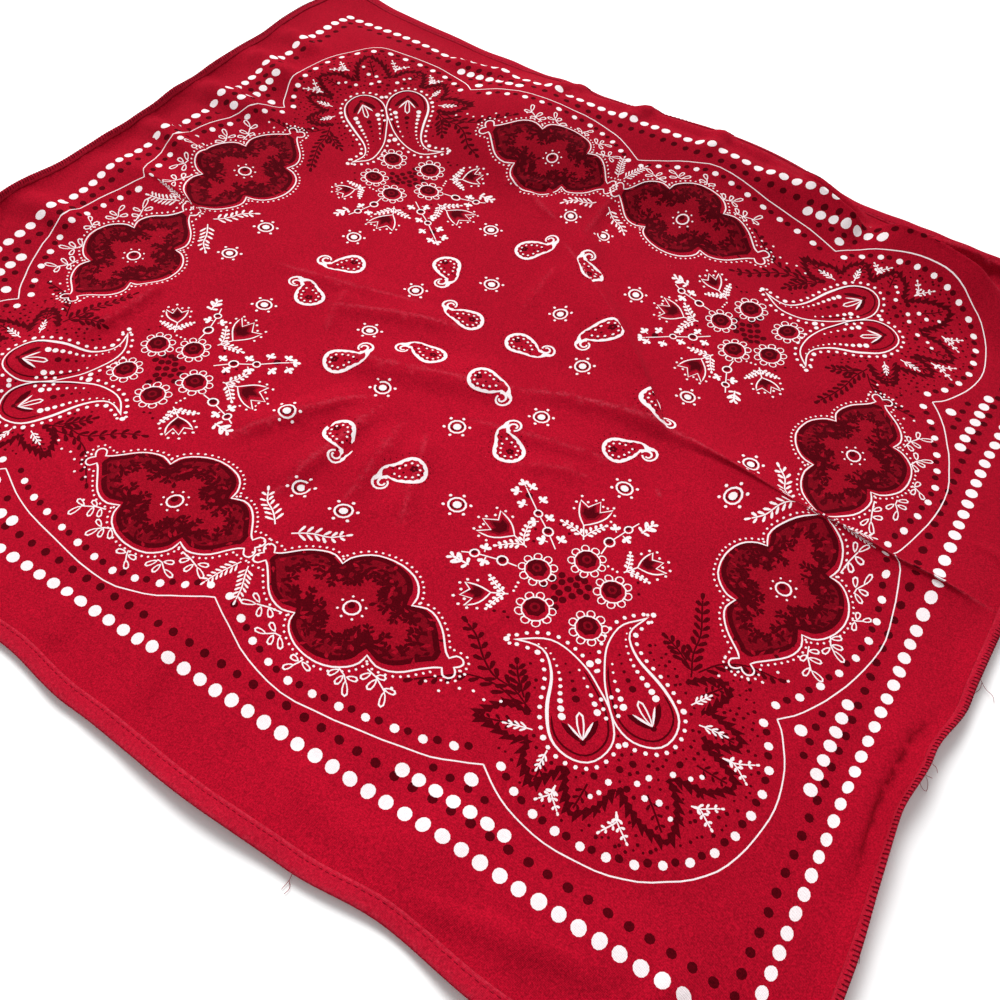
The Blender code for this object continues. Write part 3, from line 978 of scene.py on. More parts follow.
def tulip(x, y, degrees, scale, stem, hand):
    """An outlined tulip. Its own y runs from its base to its tips, and hand -1 mirrors it."""
    def put(points):
        return placed([(hand * px * scale, py * scale) for px, py in points], x, y, degrees)
    body = curve(TULIP[:4], 2)[:-1] + list(TULIP[3:7]) + curve(TULIP[7:] + ((0, 0),), 2)[:-1]
    line = 0.35 / scale
    fill(WHITE, put(shifted(body, line)))
    fill(RED, put(shifted(body, -line)))
    fill(WINE, put(TULIP_WINE))
    fill(DARK, put(TULIP_DARK))
    for spot in spots(shifted(body + body[:1], 2.5 / scale)[4:], 4.4 / scale):
        if spot[1] > 5:
            disc(WHITE, *put([spot])[0], 0.72)
    base = put([(0, 0)])[0]
    stroke(WHITE, [base, stem], 0.65)
    way = math.degrees(math.atan2(base[1] - stem[1], base[0] - stem[0]))
    for side in (1, -1):
        start = np.array(stem) * 0.8 + np.array(base) * 0.2
        bend = heading(*start, way + side * 46, 5.2)
        tip = heading(*bend, way + side * 58, 6.4 * scale)
        fern(WHITE, [start, bend, tip], 4, 3.3 * scale, 1.35, 0.6, spread=50)


def tuft(x, y, degrees):
    """A full white tuft: pairs of blunt leaflets close along a thick stem."""
    stroke(WHITE, [(x, y), heading(x, y, degrees, 7.4)], [0.8, 1.2])
    for reach, spread, length in ((0.6, 70, 3.6), (3.0, 42, 5.0), (5.4, 69, 3.8), (7.2, 35, 3.2)):
        base = heading(x, y, degrees, reach)
        for side in (1, -1):
            leaf(WHITE, base, heading(*base, degrees + side * spread, length), 1.5, 1)


DAISIES = ((97, 101.5), (106.5, 119.2), (113.2, 85.3), (130, 114.5), (130.2, 92.7))
BERRIES = (
    (107.9, 98.7), (112.5, 98.7), (115, 95.8), (118.1, 95.6), (121, 97.6), (116.1, 99.6),
    (105.8, 102.3), (109.9, 101.8), (113.9, 103.4), (118.8, 101.6), (122.4, 102.1),
    (108.3, 105.7), (104, 107.4), (111.6, 107), (117.1, 105.6), (111.4, 110.7), (114.6, 109.4),
    (113.7, 114.3),
)
# x, y, direction, scale, foot of the stem, hand
TULIPS = (
    (102.1, 68.4, 180, 1.0, (105.8, 75.9), 1),
    (79, 91.8, 90, 1.0, (86.6, 94), -1),
    (133.7, 75.2, -136, 0.74, (129.7, 81.3), 1),
    (86.9, 123, 46, 0.74, (93.1, 119.4), -1),
)
# each stem; its second and third points carry a large and a small ring
RINGED_STEMS = (
    ((116.3, 78), (116.6, 70.3), (120.6, 58.9), (123, 53)),
    ((88.4, 105.2), (81.5, 106.2), (69.9, 109.9), (65, 112.5)),
    ((97.8, 87.8), (90.4, 81.2), (81.3, 74.7), (69, 64.6)),
)
# x, y, direction
SPRIGS = (
    (114.8, 61.4, -130), (122.6, 64.3, 20), (72.1, 104.6, -110), (75.3, 111.8, 80),
    (97.4, 81.2, -90), (90.2, 86.8, 170), (86.9, 73.6, -85), (81.6, 80.4, 140),
    (79.3, 66, -80), (72.2, 73.9, 170), (71, 62, -90), (65.9, 68.9, 160), (66.5, 62.6, -145),
)


def bouquet():
    """Five flowers round dark berries, with tulips, ringed stems, tufts and sprigs."""
    for k, (x, y) in enumerate(DAISIES):
        daisy(x, y, 17 * k)
    discs(DARK, BERRIES, 1.7)
    for flower in TULIPS:
        tulip(*flower)
    for stem in RINGED_STEMS:
        stroke(WHITE, stem, 0.6)
        ring(*stem[1], 2.8, 0.75, DARK)
        ring(*stem[2], 2.3, 0.7, DARK)
    disc(DARK, 73.2, 68.6, 1.9)
    tuft(126.6, 57.4, -74)
    tuft(71.4, 116.4, 176)
    for x, y, way in SPRIGS:
        sprig(x, y, way)
    discs(WHITE, ((122.1, 82), (124.6, 82.2), (127.1, 82.4), (93.3, 112), (93.6, 114.3), (94, 116.6)),
          0.65)
    discs(DARK, ((99.6, 77.3), (93.8, 74.8), (88.4, 90), (85.8, 83.9), (138, 83.1), (141.3, 88.2),
                 (97.8, 128.8), (94.5, 130.6), (100.3, 130.2)), 0.8)


# ---- the field's small paisleys and rosettes
SMALL_SPINE = ((15.2, 2.6), (12, -0.2), (8, -1.4), (2, -0.4), (-10.2, 0.6))
SMALL_ACROSS = 8.1
SMALL_TAPER = 2.2


def small_paisley(x, y, degrees, flip=False):
    """A white paisley with a scalloped inside, a curled tip, dots and a small dark flower."""
    def put(points):
        return placed(points, x, y, degrees, flip)
    body = comma(SMALL_SPINE, SMALL_ACROSS, SMALL_TAPER, 34)
    fill(WHITE, put(body))
    line = [1.75 - 0.7 * min(1, max(0, (p[0] - 2) / 6)) for p in body]
    inner = shifted(body, line)
    scalloped = shifted(inner, [0.35 if k % 2 else -0.2 for k in range(len(inner))])
    fill(RED, put([p for p in scalloped if p[0] < 11.6]))
    stroke(WHITE, put(curl(12.2, 4.4, -75, 265, 4.6, 2.9)), [1.2] * 4 + [1.05] * 4 + [0.9] * 3)
    stroke(WHITE, put(curl(11.5, 4.6, -132, 285, 3.4, 0.8)), [1.2] * 4 + [1.0] * 3 + [0.9] * 4)
    for k, place in enumerate(put([p for p in shifted(body, 2.0) if p[0] < 9])):
        if k % 2:
            disc(DARK, *place, 0.62)
    ringed = [p for p in shifted(body, 3.7) if p[0] < 6.0]
    discs(WHITE, put(spots(ringed, 3.1)), 0.68)
    discs(DARK, put([heading(-4.0, 0.6, 72 * k, 1.25) for k in range(5)]), 0.95)
    discs(DARK, put(((0.8, -2.4), (3.2, -3.0), (1.0, 1.4), (5.6, -2.4))), 0.7)
    outer = [p for p in shifted(body, -1.5) if p[0] < 11]
    discs(DARK, put(spots(outer, 3.3)), 0.42)


def rosette(x, y):
    """A ringed white dot with six dots round it."""
    for ink, radius in ((WHITE, 4.4), (RED, 3.45), (DARK, 3.6), (BARE, 2.75), (WHITE, 2.0)):
        disc(ink, x, y, radius)
    discs(WHITE, [heading(x, y, 60 * k + 30, 6.1) for k in range(6)], 0.82)


border()
scallops()
dark_ferns()
paisley_pair()
corner_leaves()
stipple()
quatrefoil(along_hem, 3)
quatrefoil(along_side, 5)
bouquet()
for place in ((12.2, 125), (152, 15), (107.7, 37.7), (52, 21), (22, 50.8), (48.6, 91.9)):
    rosette(*place)
for place in ((17.8, 18.2, 0), (49, 47.4, -129), (95.5, 16.5, -39), (19, 89.5, 136, True)):
    small_paisley(*place)


# ------------------------------------------------------------------------------- the flat sheets
# In millimetres: the printed face's and the underside's own grids, and how near to its neighbours a
# closer row's point or a grid point may stand.
PRINTED_STEP = 5.4
PLAIN_STEP = 9.0
ROW_GAP = 1.2
PRINTED_GAP = 2
PLAIN_GAP = 3
GRID_UNEVEN = 0.3
MERGE = 1e-5


def drift(x, y):
    """The screen's slight irregularity over the whole cloth."""
    dx = 0.35 * np.sin(x / 23 + y / 41) + 0.16 * np.sin(x / 3.1 - y / 4.3 + 1.0)
    dy = 0.35 * np.sin(y / 19 - x / 37 + 2.0) + 0.16 * np.sin(x / 3.7 + y / 2.9)
    return x + dx, y + dy


def cell(x, y, size):
    """The square of a grid of so many millimetres that holds a place."""
    return round(x / size), round(y / size)


def rim_points(half_x, half_y, columns, rows):
    """Places round the sheet's rim, in turn."""
    rim = [(-half_x + 2 * half_x * i / columns, -half_y) for i in range(columns)]
    rim += [(half_x, -half_y + 2 * half_y * j / rows) for j in range(rows)]
    rim += [(half_x - 2 * half_x * i / columns, half_y) for i in range(columns)]
    return rim + [(-half_x, half_y - 2 * half_y * j / rows) for j in range(rows)]


def add_rows(points, places):
    """Adds the places that are clear of the points and of each other."""
    close = {cell(x, y, ROW_GAP) for x, y in points}
    for x, y in places:
        if cell(x, y, ROW_GAP) not in close:
            points.append((x, y))
            close.add(cell(x, y, ROW_GAP))


def print_shapes():
    """The drawn quarter in all four, each shape run round to the left, with its edges."""
    shapes, points, edges = [], [], []
    for ink, shape in drawn:
        for side_x, side_y in QUARTERS:
            xs, ys = (np.array(values) for values in zip(*shape))
            xs, ys = drift(xs * side_x, ys * side_y)
            if ink >= DARK:
                xs, ys = xs + DARK_SCREEN_X, ys + DARK_SCREEN_Y
            if np.sum(xs * np.roll(ys, -1) - ys * np.roll(xs, -1)) < 0:
                xs, ys = xs[::-1], ys[::-1]
            start, count = len(points), len(xs)
            points += list(zip(xs, ys))
            edges += [(start + k, start + (k + 1) % count) for k in range(count)]
            shapes.append((ink, xs, ys))
    return shapes, points, edges


def printed_sheet(half_x, half_y):
    """The printed face, flat: its points in millimetres, its triangles, their inks, and its rim."""
    shapes, points, edges = print_shapes()
    columns, rows = round(2 * half_x / PRINTED_STEP), round(2 * half_y / PRINTED_STEP)
    rim = rim_points(half_x, half_y, columns, rows)
    flat, triangles = joined(points + rim, edges)
    points, edges = ink_edges(flat, triangles, inked(flat[triangles].mean(axis=1), shapes))
    add_rows(points, closer_rows(half_x, half_y, PLEATS) + closer_rows(half_x, half_y, WRINKLES))
    taken = {cell(x, y, PRINTED_GAP) for x, y in points}
    seeded = random.Random(4)
    for j in range(1, rows):
        for i in range(1, columns):
            x = -half_x + 2 * half_x * (i + 0.25 * (-1) ** j) / columns
            x += seeded.uniform(-GRID_UNEVEN, GRID_UNEVEN)
            y = -half_y + 2 * half_y * j / rows + seeded.uniform(-GRID_UNEVEN, GRID_UNEVEN)
            if cell(x, y, PRINTED_GAP) not in taken and abs(x) < half_x - 1:
                points.append((x, y))
    flat, triangles = joined(points + rim, edges)
    return flat, triangles, inked(flat[triangles].mean(axis=1), shapes), rim


def plain_sheet(rim):
    """The underside, flat: the same rim and a coarser grid."""
    half_x, half_y = -rim[0][0], -rim[0][1]
    points = list(rim)
    add_rows(points, closer_rows(half_x, half_y, PLEATS))
    taken = {cell(x, y, PLAIN_GAP) for x, y in points}
    columns, rows = round(2 * half_x / PLAIN_STEP), round(2 * half_y / PLAIN_STEP)
    for j in range(1, rows):
        for i in range(1, columns):
            x, y = -half_x + 2 * half_x * i / columns, -half_y + 2 * half_y * j / rows
            if cell(x, y, PLAIN_GAP) not in taken:
                points.append((x, y))
    return joined(points, [])


def joined(points, edges):
    """Points and triangles of a flat sheet that keeps the edges."""
    made = delaunay_2d_cdt([Vector(p) for p in points], edges, [], 0, MERGE, False)
    return np.array([tuple(p) for p in made[0]]), np.array([tuple(f) for f in made[2]])


def ink_edges(flat, triangles, inks):
    """The edges where two inks meet, and their points; those inside one ink are left out."""
    sides = np.concatenate([triangles[:, pair] for pair in ([0, 1], [1, 2], [2, 0])])
    sides = np.sort(sides, axis=1)
    owners = np.tile(inks, 3)
    order = np.lexsort((sides[:, 1], sides[:, 0]))
    sides, owners = sides[order], owners[order]
    shared = (sides[1:] == sides[:-1]).all(axis=1)
    kept = sides[1:][shared & (owners[1:] != owners[:-1])]
    used, edges = np.unique(kept, return_inverse=True)
    return [tuple(p) for p in flat[used]], [tuple(int(i) for i in e) for e in edges.reshape(-1, 2)]


def inked(middles, shapes):
    """The ink at each of some places: on each screen, the last shape drawn over it."""
    order = np.argsort(middles[:, 0])
    xs, ys = middles[order, 0], middles[order, 1]
    over, under = np.full(len(xs), RED), np.full(len(xs), RED)
    for ink, px, py in shapes:
        first, last = np.searchsorted(xs, (px.min(), px.max()))
        near = first + np.flatnonzero((ys[first:last] > py.min()) & (ys[first:last] < py.max()))
        if not len(near):
            continue
        x, y = xs[near][:, None], ys[near][:, None]
        qx, qy = np.roll(px, -1), np.roll(py, -1)
        left = (qx - px) * (y - py) - (x - px) * (qy - py)
        turns = ((py <= y) & (qy > y) & (left > 0)).sum(axis=1)
        turns -= ((py > y) & (qy <= y) & (left < 0)).sum(axis=1)
        if ink >= DARK:
            under[near[turns > 0]] = ink
        else:
            over[near[turns > 0]] = ink
    back = np.empty(len(xs), int)
    back[order] = np.where(over == WHITE, WHITE, under)
    return back


# --------------------------------------------------------------------------------- the materials
# How fast each pattern changes: its scale, in the cloth's own place.
DYE_SCALE = 11
FIBRE_SCALE = 1600
GRAIN_SCALE = 800
WEAVE_SCALE = 700.0
WORN_SCALE = 700
# Painted shade: full colour round this place, darker by a share from the first distance to the second.
PAINTED_LIGHT_MIDDLE = (-0.01, -0.16, 0.0)
PAINTED_SHADE_NEAR = 0.12
PAINTED_SHADE_FAR = 0.36
# The most that a worn place shows of its worn colour.
WORN_SHOW = 0.44
# The weave's relief, and the cloth's dull face with its red sheen.
RELIEF_STRENGTH = 0.45
RELIEF_DEPTH = 0.0002
ROUGHNESS = 0.95
SPECULAR = 0.02
SHEEN_ROUGHNESS = 0.6
SHEEN_TINT = (0.75, 0.08, 0.14, 1)


def cotton(name, colour, worn_colour, fuzz, fade, sheen=0.10, painted_shade_keep=0.80):
    """Woven cotton of one ink: its weave, its fuzz, slow fading, painted shade away from one middle,
    worn creases and a soft sheen.
    """
    material = bpy.data.materials.new(name)
    material.use_nodes = True
    tree = material.node_tree
    shader = tree.nodes["Principled BSDF"]

    def node(kind, **inputs):
        made = tree.nodes.new(kind)
        for key, value in inputs.items():
            made.inputs[key.replace("_", " ")].default_value = value
        return made

    place = tree.nodes.new("ShaderNodeTexCoord").outputs["Object"]

    def noise(scale, detail=2.0):
        made = node("ShaderNodeTexNoise", Scale=scale, Detail=detail)
        tree.links.new(place, made.inputs["Vector"])
        return made.outputs["Fac"]

    def ranged(value, low, high):
        made = node("ShaderNodeMapRange", From_Min=0.3, From_Max=0.7, To_Min=low, To_Max=high)
        tree.links.new(value, made.inputs["Value"])
        return made.outputs["Result"]

    def maths(operation, a, b):
        made = tree.nodes.new("ShaderNodeMath")
        made.operation = operation
        for socket, value in zip(made.inputs, (a, b)):
            if isinstance(value, (int, float)):
                socket.default_value = value
            else:
                tree.links.new(value, socket)
        return made.outputs[0]

    # Painted shade: the colour darkens with the distance from one middle, as if lit there most; the
    # slow dye tone is multiplied by it.
    away = tree.nodes.new("ShaderNodeVectorMath")
    away.operation = "DISTANCE"
    away.inputs[1].default_value = PAINTED_LIGHT_MIDDLE
    tree.links.new(place, away.inputs[0])
    painted_edge_shade = node("ShaderNodeMapRange", From_Min=PAINTED_SHADE_NEAR, From_Max=PAINTED_SHADE_FAR, To_Min=1.0, To_Max=painted_shade_keep)
    tree.links.new(away.outputs["Value"], painted_edge_shade.inputs["Value"])
    dyed = ranged(noise(DYE_SCALE, 4), 1 - fade, 1 + fade)
    slow = maths("MULTIPLY", dyed, painted_edge_shade.outputs["Result"])
    fibre = ranged(noise(FIBRE_SCALE, 3), 1 - fuzz, 1 + fuzz)
    grain = ranged(noise(GRAIN_SCALE, 2), 1 - 0.4 * fuzz, 1 + 0.4 * fuzz)
    weave = []
    for direction in ("X", "Y"):
        wave = node("ShaderNodeTexWave", Scale=WEAVE_SCALE, Distortion=0.6)
        wave.bands_direction = direction
        tree.links.new(place, wave.inputs["Vector"])
        weave.append(wave.outputs["Fac"])
    threads = maths("ADD", weave[0], weave[1])
    woven = maths("MULTIPLY", grain, ranged(threads, 0.98, 1.02))
    shade = maths("MULTIPLY", maths("MULTIPLY", slow, fibre), woven)

    wear = tree.nodes.new("ShaderNodeAttribute")
    wear.attribute_name = "wear"
    rubbed = maths("MULTIPLY", wear.outputs["Fac"], ranged(noise(WORN_SCALE, 3), 0.0, WORN_SHOW))
    mix = tree.nodes.new("ShaderNodeMix")
    mix.data_type = "RGBA"
    mix.inputs["A"].default_value = (*colour, 1)
    mix.inputs["B"].default_value = (*worn_colour, 1)
    tree.links.new(rubbed, mix.inputs["Factor"])
    scaled = tree.nodes.new("ShaderNodeVectorMath")
    scaled.operation = "SCALE"
    tree.links.new(mix.outputs["Result"], scaled.inputs[0])
    tree.links.new(shade, scaled.inputs["Scale"])
    tree.links.new(scaled.outputs[0], shader.inputs["Base Color"])
    bump = node("ShaderNodeBump", Strength=RELIEF_STRENGTH, Distance=RELIEF_DEPTH)
    tree.links.new(maths("ADD", threads, fibre), bump.inputs["Height"])
    tree.links.new(bump.outputs["Normal"], shader.inputs["Normal"])
    shader.inputs["Roughness"].default_value = ROUGHNESS
    shader.inputs["Specular IOR Level"].default_value = SPECULAR
    shader.inputs["Sheen Weight"].default_value = sheen
    shader.inputs["Sheen Roughness"].default_value = SHEEN_ROUGHNESS
    shader.inputs["Sheen Tint"].default_value = SHEEN_TINT
    return material


# name, colour, worn colour, how much the fuzz and the slow fading change them, and for some a sheen or
# how much of the colour the painted edge shade keeps
ground = cotton("red_ground", (0.372, 0.0030, 0.0165), (0.60, 0.075, 0.115), 0.30, 0.08)
white = cotton("white_print", (0.85, 0.765, 0.78), (0.78, 0.64, 0.66), 0.07, 0.02, painted_shade_keep=0.97)
dark = cotton("dark_print", (0.074, 0.0004, 0.0032), (0.22, 0.01, 0.03), 0.26, 0.08, 0.06)
wine = cotton("wine_print", (0.180, 0.0014, 0.0074), (0.34, 0.02, 0.04), 0.30, 0.08)
bare = cotton("bare_ground", (0.306, 0.0026, 0.0130), (0.50, 0.05, 0.09), 0.30, 0.08)
# The bands' cotton is a little lighter than the ground red: painted light on the hems' and edges'
# raised tops.
band_cotton_painted_light = cotton("band_cotton_painted_light", (0.41, 0.0050, 0.0215), (0.60, 0.08, 0.125), 0.24, 0.06)
sewing_thread = cotton("sewing_thread", (0.31, 0.0055, 0.0200), (0.50, 0.06, 0.10), 0.12, 0.04)
edging_thread = cotton("edging_thread", (0.13, 0.0016, 0.0085), (0.30, 0.02, 0.05), 0.20, 0.04)


# ------------------------------------------------------------------------------------ the pieces
CLOTH_THICKNESS = 0.0006
# How far the printed sheet runs on inside the hems and the overlocked edges.
TUCK = 0.0015
STITCH_LENGTH = 0.0023
STITCH_INSET = 0.0062
STITCH_RADIUS = 0.00017
HEM_TOP = 0.0012
HEM_ENDS = 0.006
OVERLOCK_DEPTH = 0.0029
OVERLOCK_PITCH = 0.0018
OVERLOCK_RADIUS = 0.00018
OVERLOCK_ENDS = 0.003
THREAD_RADIUS = 0.00011
THREAD_POINTS = 14
# How thick a thread's ends are beside its middle, and how worn it is all along.
THREAD_END = 0.6
THREAD_WEAR = 0.15
# What counts as up for a thread's round section: near the table's own up, but never along a thread.
THREAD_UP = (0.02, 0.03, 1.0)


def add_object(name, points, faces, materials, inks=None, normals=None, wear=None):
    """A mesh in the scene, with a material for each face and how worn each point is."""
    mesh = bpy.data.meshes.new(name)
    mesh.from_pydata([tuple(p) for p in points], [], faces)
    for material in materials:
        mesh.materials.append(material)
    if inks is not None:
        mesh.polygons.foreach_set("material_index", inks)
    mesh.shade_smooth()
    if normals is not None:
        mesh.normals_split_custom_set_from_vertices([tuple(n) for n in normals])
    if wear is not None:
        mesh.attributes.new("wear", "FLOAT", "POINT").data.foreach_set("value", wear)
    mesh.update()
    made = bpy.data.objects.new(name, mesh)
    bpy.context.scene.collection.objects.link(made)
    return made


def cloth():
    """The printed sheet: its printed face, its plain underside, and the wall between their rims."""
    half_x = (HALF_X - OVERLOCK_WIDTH + TUCK) / MM
    half_y = (HALF_Y - HEM_WIDTH + TUCK) / MM
    flat, triangles, inks, rim = printed_sheet(half_x, half_y)
    top, top_normals = surface(flat[:, 0] * MM, flat[:, 1] * MM, CLOTH_THICKNESS)
    under_flat, under_triangles = plain_sheet(rim)
    under, under_normals = surface(under_flat[:, 0] * MM, under_flat[:, 1] * MM, 0)
    count = len(flat)
    faces = [tuple(int(i) for i in f) for f in triangles]
    faces += [tuple(int(count + i) for i in reversed(f)) for f in under_triangles]

    def rim_index(points, place):
        return int(np.argmin(np.abs(points[:, 0] - place[0]) + np.abs(points[:, 1] - place[1])))
    upper = [rim_index(flat, p) for p in rim]
    lower = [count + rim_index(under_flat, p) for p in rim]
    for k in range(len(rim)):
        after = (k + 1) % len(rim)
        faces.append((upper[k], lower[k], lower[after], upper[after]))
    inks = list(inks) + [RED] * (len(faces) - len(inks))
    points = np.concatenate([top, under])
    normals = np.concatenate([top_normals, -under_normals])
    wear = np.concatenate([worn(flat[:, 0] * MM, flat[:, 1] * MM), np.zeros(len(under))])
    materials = [ground, white, dark, wine, bare]
    return add_object("cloth_printed", points, faces, materials, inks, normals, wear)


def band(name, place, stations, section):
    """A folded band along an edge: a section of (inset, height, wear) swept along it."""
    section = np.array(section)
    places = [place(station, inset) for station in stations for inset in section[:, 0]]
    u, v = np.array(places).T
    points, _ = surface(u, v, np.tile(section[:, 1], len(stations)))
    count = len(section)
    faces = []
    for ring in range(len(stations) - 1):
        for i in range(count):
            a = ring * count + i
            b = ring * count + (i + 1) % count
            faces.append((a, a + count, b + count, b))
    last = (len(stations) - 1) * count
    faces.append(tuple(range(count)))
    faces.append(tuple(last + i for i in reversed(range(count))))
    return add_object(name, points, faces, [band_cotton_painted_light], wear=np.tile(section[:, 2], len(stations)))


def tubes(name, lines, radius, sides=5, thread=sewing_thread):
    """Lengths of sewing thread as one piece. lines is an array: line, point, x/y/z in metres."""
    before = np.concatenate([lines[:, :1], lines[:, :-1]], axis=1)
    after = np.concatenate([lines[:, 1:], lines[:, -1:]], axis=1)
    run = after - before
    run /= np.linalg.norm(run, axis=2)[:, :, None]
    across = np.cross(run, np.array(THREAD_UP))
    across /= np.linalg.norm(across, axis=2)[:, :, None]
    up = np.cross(across, run)
    count = lines.shape[1]
    thick = radius * np.array([THREAD_END] + [1.0] * (count - 2) + [THREAD_END])[None, :, None, None]
    angle = (math.tau * np.arange(sides) / sides)[None, None, :, None]
    outward = np.cos(angle) * across[:, :, None] + np.sin(angle) * up[:, :, None]
    points = lines[:, :, None] + thick * outward
    faces = []
    for first in range(0, len(lines) * count * sides, count * sides):
        for a in range(first, first + (count - 1) * sides):
            b = a + 1 if (a + 1) % sides else a + 1 - sides
            faces.append((a, b, b + sides, a + sides))
        faces.append(tuple(first + turn for turn in reversed(range(sides))))
        faces.append(tuple(first + (count - 1) * sides + turn for turn in range(sides)))
    points = points.reshape(-1, 3)
    return add_object(name, points, faces, [thread], wear=np.full(len(points), THREAD_WEAR))


def stitched(rows, place):
    """Lines of points over the laid cloth. rows: each line's (along, inset, height) points."""
    rows = np.array(rows)
    us, vs = place(rows[:, :, 0].ravel(), rows[:, :, 1].ravel())
    us, vs = us + 0 * vs, vs + 0 * us
    return surface(us, vs, rows[:, :, 2].ravel())[0].reshape(rows.shape)


def hem_stitches(name, place):
    """A run of short stitches that sink a little into a hem."""
    rows = []
    chance = random.Random(name)
    along = -HALF_X + HEM_ENDS
    while along < HALF_X - HEM_ENDS:
        length = STITCH_LENGTH * chance.uniform(0.92, 1.08)
        inset = STITCH_INSET + chance.uniform(-0.00012, 0.00012)
        rows.append([(along + length * t, inset, HEM_TOP + sink)
                     for t, sink in ((0, -0.0003), (0.25, 0.00012), (0.75, 0.00012), (1, -0.0003))])
        along += length * 1.22
    return tubes(name, stitched(rows, place), STITCH_RADIUS)


def overlocking(name, place):
    """Loops of thread that wrap a cut edge, each leaning a little."""
    rows = []
    chance = random.Random(name)
    along = -HALF_Y + HEM_WIDTH + OVERLOCK_ENDS
    while along < HALF_Y - HEM_WIDTH - OVERLOCK_ENDS:
        deep = OVERLOCK_DEPTH * chance.uniform(0.8, 1.15)
        lean = chance.uniform(0.2, 0.8) * MM
        rows.append([(along + lean, deep, 0.0013), (along + lean * 0.6, deep * 0.55, 0.00165),
                     (along + lean * 0.2, 0.0006, 0.0015), (along, -0.0001, 0.0008),
                     (along - lean * 0.2, 0.0006, 0.0001)])
        along += OVERLOCK_PITCH * chance.uniform(0.85, 1.15)
    return tubes(name, stitched(rows, place), OVERLOCK_RADIUS, 4, edging_thread)


def loose(name, lines):
    """Loose threads through a few points each, in millimetres over the table."""
    even = np.linspace(0, 1, THREAD_POINTS)
    points = np.array([along_line(curve(line, 6), even) for line in lines]) * MM
    return tubes(name, points, THREAD_RADIUS)


# Each band's section, in metres: inset from the edge, height over the cloth's underside, and wear
HEM_SECTION = (
    (0.0079, 0.00066, 0.3), (0.0064, 0.00064, 0.0), (0.0059, 0.0002, 0.0), (0.0030, 0.0, 0.0),
    (0.0008, 0.0, 0.0), (0.0, 0.0005, 0.35), (0.0007, 0.0010, 0.45), (0.0022, 0.00122, 0.15),
    (0.0044, 0.00126, 0.08), (0.0058, 0.00124, 0.05), (0.0062, 0.00117, 0.0), (0.0066, 0.00124, 0.1),
    (0.0074, 0.00122, 0.55), (0.0079, 0.0010, 0.5), (0.0081, 0.0008, 0.2),
)
OVERLOCK_SECTION = (
    (0.0044, 0.0007, 0.0), (0.0034, 0.00066, 0.0), (0.0028, 0.0002, 0.0), (0.0008, 0.0, 0.0),
    (0.0, 0.0006, 0.3), (0.0008, 0.0012, 0.4), (0.0022, 0.0014, 0.15), (0.0036, 0.00135, 0.15),
    (0.0043, 0.0012, 0.4), (0.0047, 0.0009, 0.2),
)
# Loose threads at the right edge and the front hem: their points in millimetres over the table.
EDGE_THREADS = (
    ((276.5, -40.5, 2.6), (279.5, -43, 1.4), (282, -45, 0.9), (285, -47, 1.6), (286.6, -49.5, 0.7)),
    ((279.5, -43, 1.4), (279.6, -46.5, 0.7), (277.6, -50.5, 0.5)),
    ((268, -92.5, 7.4), (270.6, -93, 4.5), (273.6, -92.4, 2.2), (275, -93.6, 0.9)),
    ((267, -97.5, 7.0), (270, -99, 4.2), (273.6, -97.4, 1.8)),
    ((266.6, -101, 6.8), (270.6, -104, 3.0), (273.4, -103.4, 1.0), (272.6, -99.8, 1.6),
     (271, -98.6, 2.6)),
    ((263.4, -112, 6.4), (266.4, -113.4, 3.4), (268.4, -112.6, 1.4)),
    ((262.8, -127, 5.6), (265.8, -128.6, 2.6), (267.8, -129.8, 0.7)),
    ((267, -173, 2.8), (270, -174.5, 1.4), (271.6, -178.6, 0.6)),
)
HEM_THREADS = (
    ((90.2, -255.6, 2.4), (90.8, -259, 1.6), (91.6, -262.4, 0.7), (91.2, -266.6, 0.4)),
    ((91.6, -262.4, 0.7), (93.4, -264.6, 0.5), (93.0, -267.2, 0.4)),
)


# Where a place along an edge and its inset lie in the cut cloth.
def front(u, inset):
    return u, -HALF_Y + inset


def back(u, inset):
    return -u, HALF_Y - inset


def right(v, inset):
    return HALF_X - inset, v


def left(v, inset):
    return -HALF_X + inset, -v


cloth_piece = cloth()
long_way = np.linspace(-HALF_X, HALF_X, 220)
short_way = np.linspace(-HALF_Y + HEM_WIDTH, HALF_Y - HEM_WIDTH, 210)
hem_front = band("hem_front_band", front, long_way, HEM_SECTION)
hem_back = band("hem_back_band", back, long_way, HEM_SECTION)
edge_right = band("edge_right_band", right, short_way, OVERLOCK_SECTION)
edge_left = band("edge_left_band", left, short_way, OVERLOCK_SECTION)
sewing = [
    hem_stitches("hem_front_stitches", front),
    hem_stitches("hem_back_stitches", back),
    overlocking("edge_right_overlocking", right),
    overlocking("edge_left_overlocking", left),
    loose("edge_right_threads", EDGE_THREADS),
    loose("hem_front_threads", HEM_THREADS),
]

for piece, node, slot in (
    (cloth_piece, "cloth", "printed_cotton"),
    (hem_front, "hem_front", "hemmed_cotton"),
    (hem_back, "hem_back", "hemmed_cotton"),
    (edge_right, "edge_right", "overlocked_cotton"),
    (edge_left, "edge_left", "overlocked_cotton"),
):
    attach(piece, "root")
    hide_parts(node)
for piece in sewing:
    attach(piece, "root")


# ------------------------------------------------------------------------- floor, light and camera
TABLE_HALF = 4.0
TABLE_DROP = 0.0002
TABLE_COLOUR = (0.96, 0.96, 0.96, 1)
WORLD_STRENGTH = 0.53
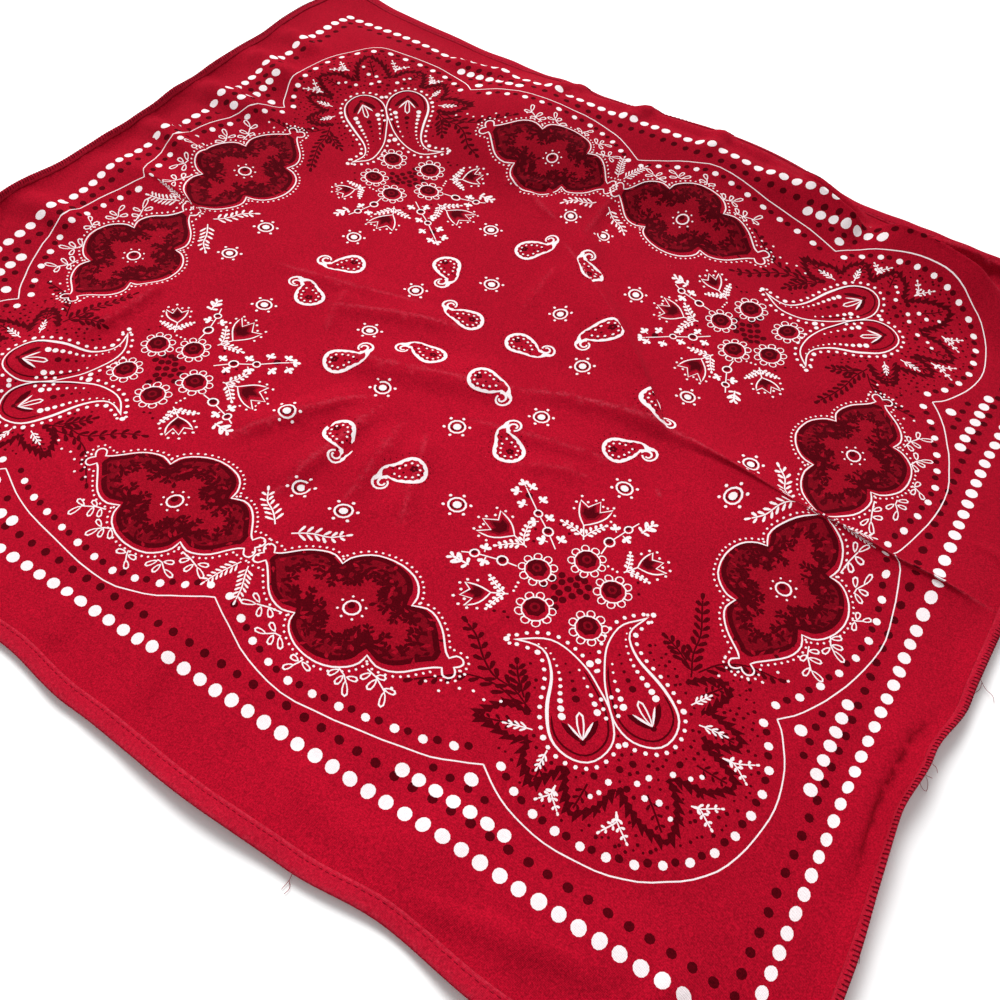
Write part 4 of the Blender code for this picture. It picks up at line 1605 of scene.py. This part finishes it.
# A broad soft window behind and to the left.
LAMP_PLACE = (-1.9, 2.1, 2.8)
LAMP_WIDTH = 2.6
LAMP_DEPTH = 2.2
LAMP_ENERGY = 218
CAMERA_PLACE = (0.19017, -0.33450, 0.35683)
CAMERA_TURN = (0.676341, -0.076916, 0.554725)
CAMERA_LENS = 35.805


def studio():
    """The table top, the even light of the room and the window."""
    mesh = bpy.data.meshes.new("table_top")
    corners = [(side_x * TABLE_HALF, side_y * TABLE_HALF, 0) for side_x, side_y in QUARTERS]
    mesh.from_pydata(corners, [], [(0, 1, 2, 3)])
    material = bpy.data.materials.new("table_white")
    material.use_nodes = True
    shader = material.node_tree.nodes["Principled BSDF"]
    shader.inputs["Base Color"].default_value = TABLE_COLOUR
    shader.inputs["Roughness"].default_value = 0.8
    mesh.materials.append(material)
    floor = bpy.data.objects.new("table_top", mesh)
    floor.location.z = -TABLE_DROP
    bpy.context.scene.collection.objects.link(floor)

    world = bpy.data.worlds.new("studio")
    world.use_nodes = True
    background = world.node_tree.nodes["Background"]
    background.inputs["Color"].default_value = (1, 1, 1, 1)
    background.inputs["Strength"].default_value = WORLD_STRENGTH
    bpy.context.scene.world = world

    light = bpy.data.lights.new("soft_window", "AREA")
    light.shape = "RECTANGLE"
    light.size = LAMP_WIDTH
    light.size_y = LAMP_DEPTH
    light.energy = LAMP_ENERGY
    lamp = bpy.data.objects.new("soft_window", light)
    lamp.location = LAMP_PLACE
    lamp.rotation_euler = (-lamp.location).to_track_quat("-Z", "Y").to_euler()
    bpy.context.scene.collection.objects.link(lamp)

    view = bpy.context.scene.view_settings
    view.view_transform = "Standard"
    view.look = "None"


def camera():
    """The photo's own view, from a camera fitted to the print."""
    data = bpy.data.cameras.new("camera")
    data.sensor_fit = "HORIZONTAL"
    data.sensor_width = 36.0
    data.lens = CAMERA_LENS
    data.clip_start = 0.01
    made = bpy.data.objects.new("camera", data)
    made.location = CAMERA_PLACE
    made.rotation_euler = CAMERA_TURN
    bpy.context.scene.collection.objects.link(made)
    bpy.context.scene.camera = made


studio()
camera()
